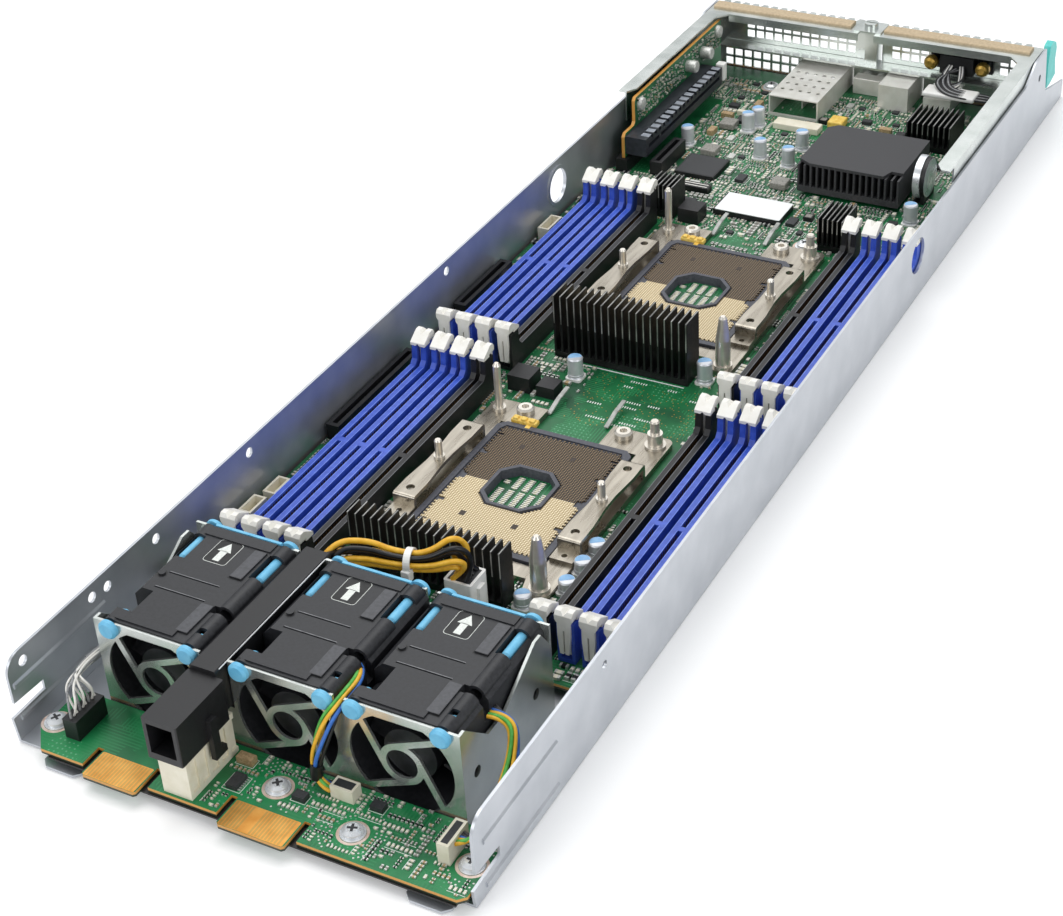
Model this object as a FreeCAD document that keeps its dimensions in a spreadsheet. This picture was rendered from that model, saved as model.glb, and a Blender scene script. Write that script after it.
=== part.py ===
import FreeCAD, Part
import math
import os
import Sketcher
from FreeCAD import Placement, Rotation, Vector

# A half-width 1U server node: a steel tray that slides into a shared chassis.
# +X is the width, +Y runs from the docking edge to the port end, +Z is up.
# The origin is the middle of the tray's underside. All sizes are in millimetres.

os.makedirs("parts", exist_ok=True)
doc = FreeCAD.newDocument("ServerNode")

# Driving dimensions
dimensions = {
    "gauge": 1.0, "tray_half": 87.0, "tray_front": -290.5, "tray_rear": 282.0,
    "wall_top": 33.5, "frame_top": 40.5, "tail_end": 318.0, "tail_top": 9.0,
    "port_hole_y": 97.5, "port_hole_z": 21.0, "port_hole_radius": 8.0,
    "board_top": 6.0, "board_thick": 2.0,
    "main_left": -85.0, "main_right": 85.4, "main_front": -197.0, "main_rear": 279.0,
    "dock_front": -295.0, "dock_rear": -266.0, "tongue_tip": -299.0,
    "screw_head": 3.4, "standoff_radius": 2.8,
    "fan_half": 20.0, "fan_front": -264.0, "fan_length": 56.0, "fan_z": 21.0,
    "fan_x_a": -45.4, "fan_x_b": 5.8, "fan_x_c": 48.0,
    "duct_radius": 18.8, "rotor_radius": 18.2, "rotor_hub": 9.5, "rotor_length": 20.0,
    "shaft_radius": 2.0, "running_fit": 0.05, "fan_blades": 5,
    "guard_ring": 6.8, "guard_width": 1.15, "mount_head": 3.5, "mount_x": 15.6, "mount_z": 17.3,
    "bracket_left": -67.4, "bracket_right": 70.0,
    "socket_x": 4.0, "socket_front_y": -107.8, "socket_rear_y": 51.9,
    "bolster_thick": 2.5, "bar_offset": 34.4, "bar_half": 27.0, "bar_top": 8.6,
    "bank_front_y": -116.2, "bank_rear_y": 38.0, "slot_pitch": 9.2,
    "slot_left_x": -71.2, "slot_right_x": 63.6, "slot_half": 69.5, "slot_width": 6.6,
    "ridge_height": 9.0, "tower_height": 17.0, "tower_depth": 6.2, "fork_half": 2.05, "fork_depth": 4.4,
    "latch_pivot_y": 66.8, "latch_pivot_z": 5.0, "latch_height": 17.0,
    "fin_thick": 0.9, "fin_base": 3.0,
    "riser_x": -78.6, "riser_thick": 1.6, "riser_top": 38.0,
    "rail_z": 20.0, "flange_front": 266.0, "bracket_gauge": 0.8,
    "cell_radius": 10.0, "cell_thick": 3.2,
    "lever_x": 78.0, "lever_y": 288.0, "lever_pin": 1.5,
}
sheet = doc.addObject("Spreadsheet::Sheet", "D")
for row, (alias, value) in enumerate(dimensions.items(), start=1):
    sheet.set(f"A{row}", alias)
    sheet.set(f"B{row}", str(value))
    sheet.setAlias(f"B{row}", alias)
doc.recompute()

nodes = {}


def num(value):
    """The number that an expression, or a plain number, stands for."""
    return float(sheet.evalExpression(str(value)))


def add(*terms):
    """One expression that is the sum of the terms."""
    return " + ".join(f"({term})" for term in terms)


def keep(name, item):
    """Give a finished sub-part the label that names its file."""
    item.Label = name
    nodes[name] = item
    return item


# Sketch and feature helpers

def new_body(name):
    return doc.addObject("PartDesign::Body", name)


def rect(left, low, right, high):
    return [(left, low), (right, low), (right, high), (left, high)]


def disc(x, y, radius):
    return ("disc", x, y, radius)


def coordinate_constraints(geometry, vertex, point):
    """Constraints that hold one sketch point, and the expressions that drive them."""
    constraints = []
    drivers = []
    for kind, axis, value in (("DistanceX", -2, point[0]), ("DistanceY", -1, point[1])):
        if abs(num(value)) < 1e-9:
            constraints.append(Sketcher.Constraint("PointOnObject", geometry, vertex, axis))
            drivers.append(None)
        else:
            constraints.append(Sketcher.Constraint(kind, geometry, vertex, num(value)))
            drivers.append(value)
    return constraints, drivers


def draw_loop(sketch, loop):
    """Draw a closed polygon or a circle with every size bound to the sheet."""
    first = sketch.GeometryCount
    constraints = []
    drivers = []
    if isinstance(loop, tuple):
        _, x, y, radius = loop
        sketch.addGeometry(Part.Circle(Vector(num(x), num(y), 0), Vector(0, 0, 1), num(radius)))
        constraints.append(Sketcher.Constraint("Radius", first, num(radius)))
        drivers.append(radius)
        held = [(first, 3, (x, y))]
    else:
        corners = [Vector(num(x), num(y), 0) for x, y in loop]
        count = len(corners)
        for index in range(count):
            sketch.addGeometry(Part.LineSegment(corners[index], corners[(index + 1) % count]))
        for index in range(count):
            after = first + (index + 1) % count
            constraints.append(Sketcher.Constraint("Coincident", first + index, 2, after, 1))
            drivers.append(None)
        held = [(first + index, 1, point) for index, point in enumerate(loop)]
    for geometry, vertex, point in held:
        more, more_drivers = coordinate_constraints(geometry, vertex, point)
        constraints += more
        drivers += more_drivers
    start = sketch.ConstraintCount
    sketch.addConstraint(constraints)
    for offset, driver in enumerate(drivers):
        if isinstance(driver, str):
            sketch.setExpression(f"Constraints[{start + offset}]", driver)


def sketch_on(body, name, plane, level, loops):
    """A sketch on one of the body's own planes, moved to a level along that plane's axis."""
    sketch = body.newObject("Sketcher::SketchObject", name)
    origin_plane = next(item for item in body.Origin.OriginFeatures if item.Role == plane)
    sketch.AttachmentSupport = [(origin_plane, "")]
    sketch.MapMode = "FlatFace"
    sign = "-" if plane == "XZ_Plane" else ""
    sketch.setExpression("AttachmentOffset.Base.z", f"{sign}({level})")
    for loop in loops:
        draw_loop(sketch, loop)
    return sketch


def pad(body, name, plane, low, high, *loops):
    feature_sketch = sketch_on(body, name + "_sketch", plane, low, loops)
    feature = body.newObject("PartDesign::Pad", name)
    feature.Profile = feature_sketch
    feature.setExpression("Length", f"({high}) - ({low})")
    feature.Reversed = plane == "XZ_Plane"
    return feature


def pocket(body, name, plane, low, high, *loops):
    feature_sketch = sketch_on(body, name + "_sketch", plane, low, loops)
    feature = body.newObject("PartDesign::Pocket", name)
    feature.Profile = feature_sketch
    feature.setExpression("Length", f"({high}) - ({low})")
    feature.Reversed = plane != "XZ_Plane"
    return feature


def pattern(body, name, original, axis, step, count):
    """Repeat a feature along a body axis."""
    feature = body.newObject("PartDesign::LinearPattern", name)
    feature.Originals = [original]
    direction = next(item for item in body.Origin.OriginFeatures if item.Role == axis)
    feature.Direction = (direction, [""])
    feature.setExpression("Length", f"({step}) * ({count} - 1)")
    feature.setExpression("Occurrences", str(count))
    body.Tip = feature
    return feature


def round_edges(body, name, base, radius, chosen):
    """Fillet the edges of a feature that a test picks out."""
    doc.recompute()
    names = [f"Edge{index + 1}" for index, edge in enumerate(base.Shape.Edges) if chosen(edge)]
    feature = body.newObject("PartDesign::Fillet", name)
    feature.Base = (base, names)
    feature.setExpression("Radius", str(radius))
    return feature


def along(edge, axis):
    """Whether a straight edge runs along one axis, given as 0, 1 or 2."""
    if len(edge.Vertexes) != 2:
        return False
    span = edge.Vertexes[1].Point - edge.Vertexes[0].Point
    return abs(abs(span[axis]) - span.Length) < 1e-6


def at_point(edge, first_axis, first, second_axis, second):
    """Whether an edge's middle stands at two given coordinates."""
    middle = edge.CenterOfMass
    return abs(middle[first_axis] - first) < 0.05 and abs(middle[second_axis] - second) < 0.05


def place(item, x=0, y=0, z=0, turn=None):
    if turn is not None:
        item.Placement = Placement(Vector(), turn)
    for axis, value in (("x", x), ("y", y), ("z", z)):
        item.setExpression(f".Placement.Base.{axis}", str(value))
    return item


def block(name, low, high):
    """A Part box between two corners."""
    item = doc.addObject("Part::Box", name)
    for size, start, end in zip(("Length", "Width", "Height"), low, high):
        item.setExpression(size, f"({end}) - ({start})")
    return place(item, *low)


def rod(name, radius, length, base, turn=None):
    """A Part cylinder that starts at a point, upright unless it is turned."""
    item = doc.addObject("Part::Cylinder", name)
    item.setExpression("Radius", str(radius))
    item.setExpression("Height", str(length))
    return place(item, *base, turn=turn)


def lathe(name, profile, base):
    """A turned piece: a polygon of radius and height, spun about an upright axis."""
    body = new_body(name)
    feature = body.newObject("PartDesign::Revolution", name + "_turn")
    feature.Profile = sketch_on(body, name + "_sketch", "XZ_Plane", 0, [profile])
    axis = next(item for item in body.Origin.OriginFeatures if item.Role == "Z_Axis")
    feature.ReferenceAxis = (axis, [""])
    feature.Angle = 360
    return place(body, *base)


def group(name, items):
    item = doc.addObject("Part::Compound", name)
    item.Links = items
    return item


def copies(name, source, places):
    """Separate copies of one solid at several places, as one group."""
    doc.recompute()
    item = doc.addObject("Part::Feature", name)
    shapes = []
    for x, y, z in places:
        shape = source.Shape.copy()
        shape.translate(Vector(num(x), num(y), num(z)))
        shapes.append(shape)
    item.Shape = Part.makeCompound(shapes)
    return item


def tube(name, points, radius, share=0.45):
    """A cord of straight runs and tangent arcs, each arc as large as its runs allow."""
    stops = [Vector(*point) for point in points]
    edges = []
    radii = []
    start = stops[0]
    for before, corner, after in zip(stops, stops[1:], stops[2:]):
        back = before - corner
        ahead = after - corner
        turn = math.pi - back.getAngle(ahead)
        reach = share * min(back.Length, ahead.Length)
        radii.append(reach / math.tan(turn / 2))
        back.normalize()
        ahead.normalize()
        bisector = back + ahead
        bisector.normalize()
        middle = corner + bisector * (radii[-1] * (1 / math.cos(turn / 2) - 1))
        edges.append(Part.LineSegment(start, corner + back * reach).toShape())
        start = corner + ahead * reach
        edges.append(Part.Arc(corner + back * reach, middle, start).toShape())
    edges.append(Part.LineSegment(start, stops[-1]).toShape())
    path = Part.Wire(edges)
    section = Part.Wire(Part.makeCircle(num(radius), stops[0], stops[1] - stops[0]))
    item = doc.addObject("Part::Feature", name)
    item.Shape = path.makePipeShell([section], True, False)
    expected = math.pi * num(radius) ** 2 * path.Length
    print(name, "bend radii", [round(value, 1) for value in radii],
          "volume ratio", round(item.Shape.Volume / expected, 3))
    return item


ALONG_X = Rotation(Vector(0, 1, 0), 90)
ALONG_Y = Rotation(Vector(1, 0, 0), -90)
FAN_CENTRES = ["D.fan_x_a", "D.fan_x_b", "D.fan_x_c"]
FAN_REAR = "D.fan_front + D.fan_length"
SOCKET_ROWS = ["D.socket_front_y", "D.socket_rear_y"]


# Tray: floor, side walls with beads and holes, and the tail that guards the release lever

def wall_outline(has_tail, slot):
    """Side view of a wall: a nose with an open guide slot, a step up to the port end, and maybe a tail."""
    slot_end = "D.tray_front + 15.5"
    low, high = slot
    points = [("D.tray_front", 0), ("D.tray_front - 1", low - 0.3), (slot_end, low), (slot_end, high),
              ("D.tray_front + 1", high + 0.8), ("D.tray_front + 1", "D.wall_top"), (249, "D.wall_top"),
              (264, "D.frame_top"), ("D.tray_rear - 1", "D.frame_top")]
    if has_tail:
        points += [("D.tray_rear + 3", 17), ("D.tail_end", "D.tail_top"), ("D.tail_end", 0)]
    else:
        points += [("D.tray_rear", "D.frame_top - 3"), ("D.tray_rear", 0)]
    return points


def bead(face, rise, middle):
    """Section of a pressed bead that stands out of a wall face."""
    crest = add(face, rise)
    return [(face, middle - 1.3), (crest, middle - 0.5), (crest, middle + 0.5), (face, middle + 1.3)]


def floor_outline():
    """The floor with the two lead-in tabs that reach under the docking edge."""
    tab_reach = "D.tray_front - 6.5"
    shoulder = "D.tray_front - 4"
    outline = [("-D.tray_half", "D.tray_front")]
    for centre in (-65, 73):
        outline += [(centre - 8, "D.tray_front"), (centre - 8, shoulder), (centre - 5.5, tab_reach),
                    (centre + 5.5, tab_reach), (centre + 8, shoulder), (centre + 8, "D.tray_front")]
    outline += [("D.tray_half", "D.tray_front"), ("D.tray_half", "D.tray_rear"),
                ("-D.tray_half", "D.tray_rear")]
    return outline


def tray_pan():
    body = new_body("tray_pan")
    inner = "D.tray_half - D.gauge"
    pad(body, "floor", "XY_Plane", 0, "D.gauge", floor_outline())
    right_outline = wall_outline(True, (7.9, 12))
    left_outline = wall_outline(False, (11.2, 15.2))
    pad(body, "right_wall", "YZ_Plane", inner, "D.tray_half", right_outline)
    walls = pad(body, "left_wall", "YZ_Plane", "-D.tray_half", f"-({inner})", left_outline)
    top_front = num("D.tray_front + 1")
    walls = round_edges(body, "wall_nose", walls, 7,
                        lambda edge: along(edge, 0)
                        and at_point(edge, 1, top_front, 2, num("D.wall_top")))
    walls = round_edges(body, "wall_rise", walls, 6,
                        lambda edge: along(edge, 0)
                        and (at_point(edge, 1, 249, 2, num("D.wall_top"))
                             or at_point(edge, 1, 264, 2, num("D.frame_top"))))
    right_beads = [bead("D.tray_half", 0.6, middle) for middle in (21.5, 3.8)]
    pad(body, "right_beads", "XZ_Plane", -284, -237, *right_beads)
    pad(body, "left_top_bead", "XZ_Plane", -288, -240, bead(f"-({inner})", 0.6, 22.2))
    pad(body, "left_low_bead", "XZ_Plane", -288, -249, bead(f"-({inner})", 0.6, 8.9))
    collar = [disc("D.port_hole_y", "D.port_hole_z", "D.port_hole_radius + 1.6")]
    pad(body, "right_collar", "YZ_Plane", add(inner, -0.3), inner, *collar)
    pad(body, "left_collar", "YZ_Plane", f"-({inner})", add(f"-({inner})", 0.6), *collar)
    pocket(body, "port_holes", "YZ_Plane", "-D.tray_half - 1", "D.tray_half + 1",
           disc("D.port_hole_y", "D.port_hole_z", "D.port_hole_radius"))
    pocket(body, "right_holes", "YZ_Plane", add(inner, -0.5), "D.tray_half + 1",
           disc(-203, 26.6, 1.6), disc(272, 29, 1.8))
    left_holes = [(-281.6, 28.5), (-245.2, 28.3), (-237, 27.2), (-209, 28.3), (-151, 28.5), (-3.7, 28.7)]
    pocket(body, "left_holes", "YZ_Plane", "-D.tray_half - 1", add(f"-({inner})", 0.5),
           *[disc(y, z, 2) for y, z in left_holes])
    return keep("tray_pan", body)


# Port end: the lower port plate, and one riser bracket on each side above it

def square_holes(body, name, left, low, size, step, columns, rows, depth):
    """Rows of square vents cut through a plate that faces along Y."""
    for row in range(rows):
        base = f"{low} + {row} * {step}"
        first = pocket(body, f"{name}_{row}", "XZ_Plane", *depth,
                       rect(left, base, left + size, add(base, size)))
        pattern(body, f"{name}_row_{row}", first, "X_Axis", step, columns)


def rear_panel():
    body = new_body("rear_panel")
    inside = "D.tray_rear - D.gauge"
    edge = "D.tray_half - D.gauge - 0.2"
    rail_top = "D.rail_z + D.gauge"
    pad(body, "port_plate", "XZ_Plane", inside, "D.tray_rear", rect(f"-({edge})", "D.gauge", edge, rail_top))
    pad(body, "mid_rail", "XY_Plane", "D.rail_z", rail_top, rect("-81", "D.tray_rear - 11", "81", inside))
    pad(body, "post", "XY_Plane", rail_top, "D.frame_top - D.bracket_gauge",
        rect(-3.2, "D.tray_rear - 7", 3.2, "D.tray_rear"))
    ears = rect("D.lever_x - 4", "D.tray_rear", "D.lever_x + 2.6", "D.lever_y + 3.4")
    pad(body, "lower_ear", "XY_Plane", 7.6, 8.6, ears)
    pad(body, "upper_ear", "XY_Plane", 16.9, 17.9, ears)
    pocket(body, "pin_hole", "XY_Plane", 7, 19, disc("D.lever_x", "D.lever_y", "D.lever_pin + D.running_fit"))
    through = ("D.tray_rear - 1.5", "D.tray_rear + 0.5")
    pocket(body, "port_cuts", "XZ_Plane", *through, rect(-37.4, 5.6, -10.6, 17.4),
           rect(10.1, 5.6, 26.4, 19.4), rect(31.6, 5.6, 46.4, 13.4))
    pocket(body, "button_holes", "XZ_Plane", *through, disc(-3.5, 11, 2.1), disc(4, 11, 2.1))
    square_holes(body, "vent", -81.4, 6.4, 4, 5.2, 8, 2, through)
    return keep("rear_panel", body)


def spring_fingers(body, left, count):
    """Scalloped contact fingers along the top rear edge of a bracket."""
    first = pad(body, "finger", "XY_Plane", "D.frame_top - D.bracket_gauge", "D.frame_top",
                [(left, "D.tray_rear - 1"), (left + 4.2, "D.tray_rear - 1"),
                 (left + 3.4, "D.tray_rear + 1.6"), (left + 0.8, "D.tray_rear + 1.6")])
    pattern(body, "fingers", first, "X_Axis", 5.2, count)


def riser_bracket(name, side, rail_front, vents):
    """Sheet bracket: side rail, top flange, and a vented face above the port plate."""
    body = new_body(name)
    skin = "D.bracket_gauge"
    outer = f"{side} * (D.tray_half - D.gauge - 0.4)"
    rail_inner = add(outer, f"-{side} * {skin}")
    flange_inner = add(outer, f"-{side} * 7")
    centre = f"{side} * 4.2"
    top = "D.frame_top"
    under = f"{top} - {skin}"
    face = ("D.tray_rear - D.gauge - 0.8", "D.tray_rear - D.gauge")
    flange = [(outer, rail_front), (outer, face[1]), (centre, face[1]), (centre, "D.flange_front"),
              (add(flange_inner, f"-{side} * 5"), "D.flange_front"), (flange_inner, "D.flange_front - 6"),
              (flange_inner, f"{rail_front} + 5"), (add(outer, f"-{side} * 4"), rail_front)]
    pad(body, "flange", "XY_Plane", under, top, flange)
    pad(body, "rail", "XY_Plane", "D.rail_z + 2", under, [(outer, rail_front + 6), (outer, face[1]),
                                                       (rail_inner, face[1]), (rail_inner, rail_front + 6)])
    pad(body, "face", "XZ_Plane", *face, [(rail_inner, "D.rail_z + D.gauge + 0.2"), (rail_inner, under),
                                          (centre, under), (centre, "D.rail_z + D.gauge + 0.2")])
    pad(body, "lip", "XY_Plane", add(under, -3), under,
        [(centre, "D.flange_front"), (add(flange_inner, f"-{side} * 5"), "D.flange_front"),
         (add(flange_inner, f"-{side} * 5"), "D.flange_front + 0.8"), (centre, "D.flange_front + 0.8")])
    spring_fingers(body, -83 if side < 0 else 8, 15 if side < 0 else 14)
    through = (add(face[0], -0.5), add(face[1], 0.5))
    for index, (left, columns) in enumerate(vents):
        square_holes(body, f"vent_{index}", left, 23.4, 4, 5, columns, 2, through)
    return body


def left_bracket():
    return keep("riser_bracket_left", riser_bracket("riser_bracket_left", -1, 163, [(-69, 12)]))


def right_bracket():
    body = riser_bracket("riser_bracket_right", 1, 140, [(9.5, 4), (65, 2)])
    pocket(body, "serial_cut", "XZ_Plane", "D.tray_rear - 3", "D.tray_rear", rect(36.6, 24.6, 55.4, 34.4),
           disc(33, 29.5, 2.4), disc(59, 29.5, 2.4))
    return keep("riser_bracket_right", body)


def gaskets():
    spans = [(-84, -9.6), (7.8, 81.3)]
    strips = []
    for index, (left, right) in enumerate(spans):
        body = new_body(f"gasket_{index}")
        strip = pad(body, f"strip_{index}", "XZ_Plane", 271, 278.5,
                    [(left, "D.frame_top"), (right, "D.frame_top"), (right, "D.frame_top + 1.4"),
                     (left, "D.frame_top + 1.4")])
        round_edges(body, f"soft_{index}", strip, 0.9,
                    lambda edge: along(edge, 0) and edge.CenterOfMass.z > num("D.frame_top") + 1)
        strips.append(body)
    return keep("emi_gaskets", group("emi_gaskets", strips))


def bracket_clip():
    """Clip over both bracket flanges with a captive thumbscrew."""
    body = new_body("bracket_clip")
    pad(body, "bridge", "XY_Plane", "D.frame_top", "D.frame_top + 0.8", rect(-7, 268, 7, 281))
    pad(body, "curl", "YZ_Plane", -4.5, 4.5,
        [(281, "D.frame_top"), (284.5, "D.frame_top - 1.5"), (285, "D.frame_top - 0.8"),
         (281, "D.frame_top + 0.8")])
    pad(body, "screw_head", "XY_Plane", "D.frame_top + 0.8", "D.frame_top + 3.2", disc(0, 274.5, 3.4))
    pocket(body, "screw_slot", "XY_Plane", "D.frame_top + 2.2", "D.frame_top + 4", rect(-4, 274, 4, 275))
    return keep("bracket_clip", body)


def release_lever():
    """Teal paddle on an arm that swings about an upright pin between two ears."""
    body = new_body("release_latch")
    arm = [("D.lever_x - 3.2", "D.lever_y - 3"), ("D.lever_x + 3", "D.lever_y - 3.6"),
           ("D.lever_x + 7.6", "D.lever_y - 2.4"), ("D.lever_x + 7.6", "D.lever_y + 2"),
           ("D.lever_x + 4.6", "D.lever_y + 3.2"), ("D.lever_x - 3.2", "D.lever_y + 3")]
    pad(body, "arm", "XY_Plane", 8.9, 16.6, arm)
    neck = rect("D.lever_y - 1.6", 14, "D.lever_y + 2", 20)
    pad(body, "neck", "YZ_Plane", "D.lever_x + 5.7", "D.lever_x + 7.6", neck)
    paddle = [("D.lever_y - 1.6", 17.6), ("D.lever_y + 4", 17.6), ("D.lever_y + 13", 19.5),
              ("D.lever_y + 10.5", 28), ("D.lever_y + 11.6", 34), ("D.lever_y + 9.5", 37.5),
              ("D.lever_y + 5", 39.8), ("D.lever_y", 39), ("D.lever_y - 1.6", 33)]
    tip = pad(body, "paddle", "YZ_Plane", "D.lever_x + 5.7", "D.lever_x + 9", paddle)
    round_edges(body, "soft_tip", tip, 1.0, lambda edge: edge.CenterOfMass.z > 37 and along(edge, 0))
    pocket(body, "pin_bore", "XY_Plane", 8, 18, disc("D.lever_x", "D.lever_y", "D.lever_pin + D.running_fit"))
    return keep("release_latch", body)


def lever_pin():
    return keep("latch_pivot", rod("latch_pivot", "D.lever_pin", 11.2, ("D.lever_x", "D.lever_y", 7.2)))


# Boards, their standoffs and screws

DOCK_SCREWS = [(80.5, -280.8), (40.5, -284.5), (8.3, -277.5), (-76.3, -282.5)]
MAIN_SCREWS = [(-80.5, -188), (46, -184), (-80.5, -20), (-55, 134), (30, 112), (72, 206), (-48, 262),
               (66, 268)]


def main_board():
    body = new_body("main_board")
    outline = [("D.main_left", "D.main_front"), ("D.main_right", "D.main_front"),
               ("D.main_right", "D.main_rear"), ("D.main_left", "D.main_rear"), ("D.main_left", 246),
               ("D.main_left + 3", 243), ("D.main_left + 3", 152), ("D.main_left", 149)]
    pad(body, "board", "XY_Plane", "D.board_top - D.board_thick", "D.board_top", outline)
    pocket(body, "screw_holes", "XY_Plane", 3, 7, *[disc(x, y, 1.7) for x, y in MAIN_SCREWS])
    return keep("main_board", body)


def docking_outline():
    """Docking edge: two contact tongues with a relief notch on each side."""
    edge = "D.dock_front"
    notch = "D.dock_front + 8.5"
    tip = "D.tongue_tip"
    outline = [(-79.5, "D.dock_rear"), (-79.5, "D.dock_front + 8"), (-73, edge)]
    for left, right in ((-53.5, -32.2), (-0.9, 24.2)):
        outline += [(left - 2.4, edge), (left - 2.4, notch), (left, notch), (left, add(tip, 0.8)),
                    (left + 0.8, tip), (right - 0.8, tip), (right, add(tip, 0.8)), (right, notch),
                    (right + 2.4, notch), (right + 2.4, edge)]
    outline += [(83, edge), (85.4, "D.dock_front + 2.4"), (85.4, "D.dock_rear")]
    return outline


def docking_board():
    body = new_body("docking_board")
    pad(body, "board", "XY_Plane", "D.board_top - D.board_thick", "D.board_top", docking_outline())
    pocket(body, "screw_holes", "XY_Plane", 3, 7, *[disc(x, y, 1.7) for x, y in DOCK_SCREWS])
    return keep("docking_board", body)


def standoffs():
    spacer = new_body("spacer")
    pad(spacer, "barrel", "XY_Plane", 0, "D.board_top - D.board_thick - D.gauge",
        disc(0, 0, "D.standoff_radius"), disc(0, 0, 1.5))
    places = [(x, y, "D.gauge") for x, y in DOCK_SCREWS + MAIN_SCREWS]
    return keep("standoffs", copies("standoffs", spacer, places))


def board_screws():
    head = "D.screw_head"
    screw = lathe("screw", [(0, -3), (1.4, -3), (1.4, 0), (f"{head} + 0.8", 0), (f"{head} + 0.8", 0.4),
                            (head, 0.4), (head, 1.6), (f"{head} - 1.2", 2.4), (0, 2.4)], (0, 0, 0))
    places = [(x, y, "D.board_top") for x, y in DOCK_SCREWS + MAIN_SCREWS]
    return keep("board_screws", copies("board_screws", screw, places))


def insulating_film():
    body = new_body("insulating_film")
    pad(body, "film", "XY_Plane", 3.4, "D.board_top - D.board_thick",
        rect(-70, "D.dock_front - 0.6", 83, "D.dock_rear - 1"))
    clearance = [disc(x, y, "D.standoff_radius + 0.6") for x, y in DOCK_SCREWS]
    pocket(body, "clearance", "XY_Plane", 3, 5, *clearance)
    return keep("insulating_film", body)


# Fans: bracket with stamped finger guards, housings, rotors, rubber mounts

def finger_guard():
    """Ring and four arms that leave the ring along its tangents, standing in one fan opening."""
    thick = num("D.gauge")
    ring = num("D.guard_ring")
    half = num("D.guard_width")
    axis = Vector(0, 1, 0)
    shape = Part.makeCylinder(ring + half, thick, Vector(), axis)
    reach = math.sqrt(num("D.duct_radius + 0.8") ** 2 - ring ** 2)
    arm = Part.makeBox(reach, thick, 2 * half, Vector(0, 0, ring - half))
    to_corner = math.degrees(math.atan2(ring, reach)) - 45
    for quarter in range(4):
        turned = arm.copy()
        turned.rotate(Vector(), axis, to_corner + 90 * quarter)
        shape = shape.fuse(turned)
    return shape.cut(Part.makeCylinder(ring - half, thick, Vector(), axis))


def bracket_plates():
    body = new_body("bracket_plates")
    front = ("D.fan_front - 0.2 - D.gauge", "D.fan_front - 0.2")
    rear = (add(FAN_REAR, 0.2), add(FAN_REAR, 0.2, "D.gauge"))
    left = "D.bracket_left"
    right = "D.bracket_right"
    gap = (-25.2, -14.4)
    sill = 21
    top = "D.frame_top"
    face = [(left, "D.gauge"), (right, "D.gauge"), (right, top), (29, top), (29, 34.6), (24.8, 34.6),
            (24.8, top), (gap[1], top), (gap[1], sill), (gap[0], sill), (gap[0], top), (left, top)]
    openings = [disc(x, "D.fan_z", "D.duct_radius") for x in FAN_CENTRES]
    pad(body, "front_plate", "XZ_Plane", *front, face)
    pad(body, "rear_plate", "XZ_Plane", *rear, face)
    wing = [(front[0], "D.gauge"), (front[0], top), (-262, top), (-249, 28.5), (-238, 28.5), (-217, top),
            (-213, top), (rear[1], 31.5), (rear[1], "D.gauge")]
    pad(body, "right_wing", "YZ_Plane", "D.bracket_right - D.gauge", right, wing)
    pad(body, "left_wing", "YZ_Plane", left, "D.bracket_left + D.gauge", wing)
    pocket(body, "inlets", "XZ_Plane", add(front[0], -1), add(front[1], 0.1), *openings)
    pocket(body, "outlets", "XZ_Plane", add(rear[0], -0.1), add(rear[1], 1), *openings)
    pocket(body, "wing_holes", "YZ_Plane", "D.bracket_right - 2", "D.bracket_right + 1",
           disc(-218.4, 20.3, 2), disc(-256.9, 19.8, 2))
    strips = [rect(f"{x} - 11", "D.fan_z + 16.6", f"{x} + 11", top) for x in FAN_CENTRES]
    pad(body, "inlet_strips", "XZ_Plane", *front, *strips)
    mounts = [(f"{x} + {side} * D.mount_x", "D.fan_z + D.mount_z") for x in FAN_CENTRES for side in (-1, 1)]
    holes = [disc(x, z, 2.1) for x, z in mounts]
    mouths = [rect(f"{x} - 1.6", z, f"{x} + 1.6", f"{top} + 1") for x, z in mounts]
    pocket(body, "mount_holes", "XZ_Plane", add(front[0], -1), add(rear[1], 1), *holes)
    pocket(body, "mount_mouths", "XZ_Plane", add(front[0], -1), add(rear[1], 1), *mouths)
    return body


def fan_bracket():
    plates = bracket_plates()
    guard = finger_guard()
    guards = []
    for centre in FAN_CENTRES:
        piece = doc.addObject("Part::Feature", "finger_guard")
        piece.Shape = guard
        guards.append(place(piece, centre, "D.fan_front - 0.2 - D.gauge", "D.fan_z"))
    whole = doc.addObject("Part::MultiFuse", "fan_bracket")
    whole.Shapes = [plates] + guards
    return keep("fan_bracket", whole)


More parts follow.
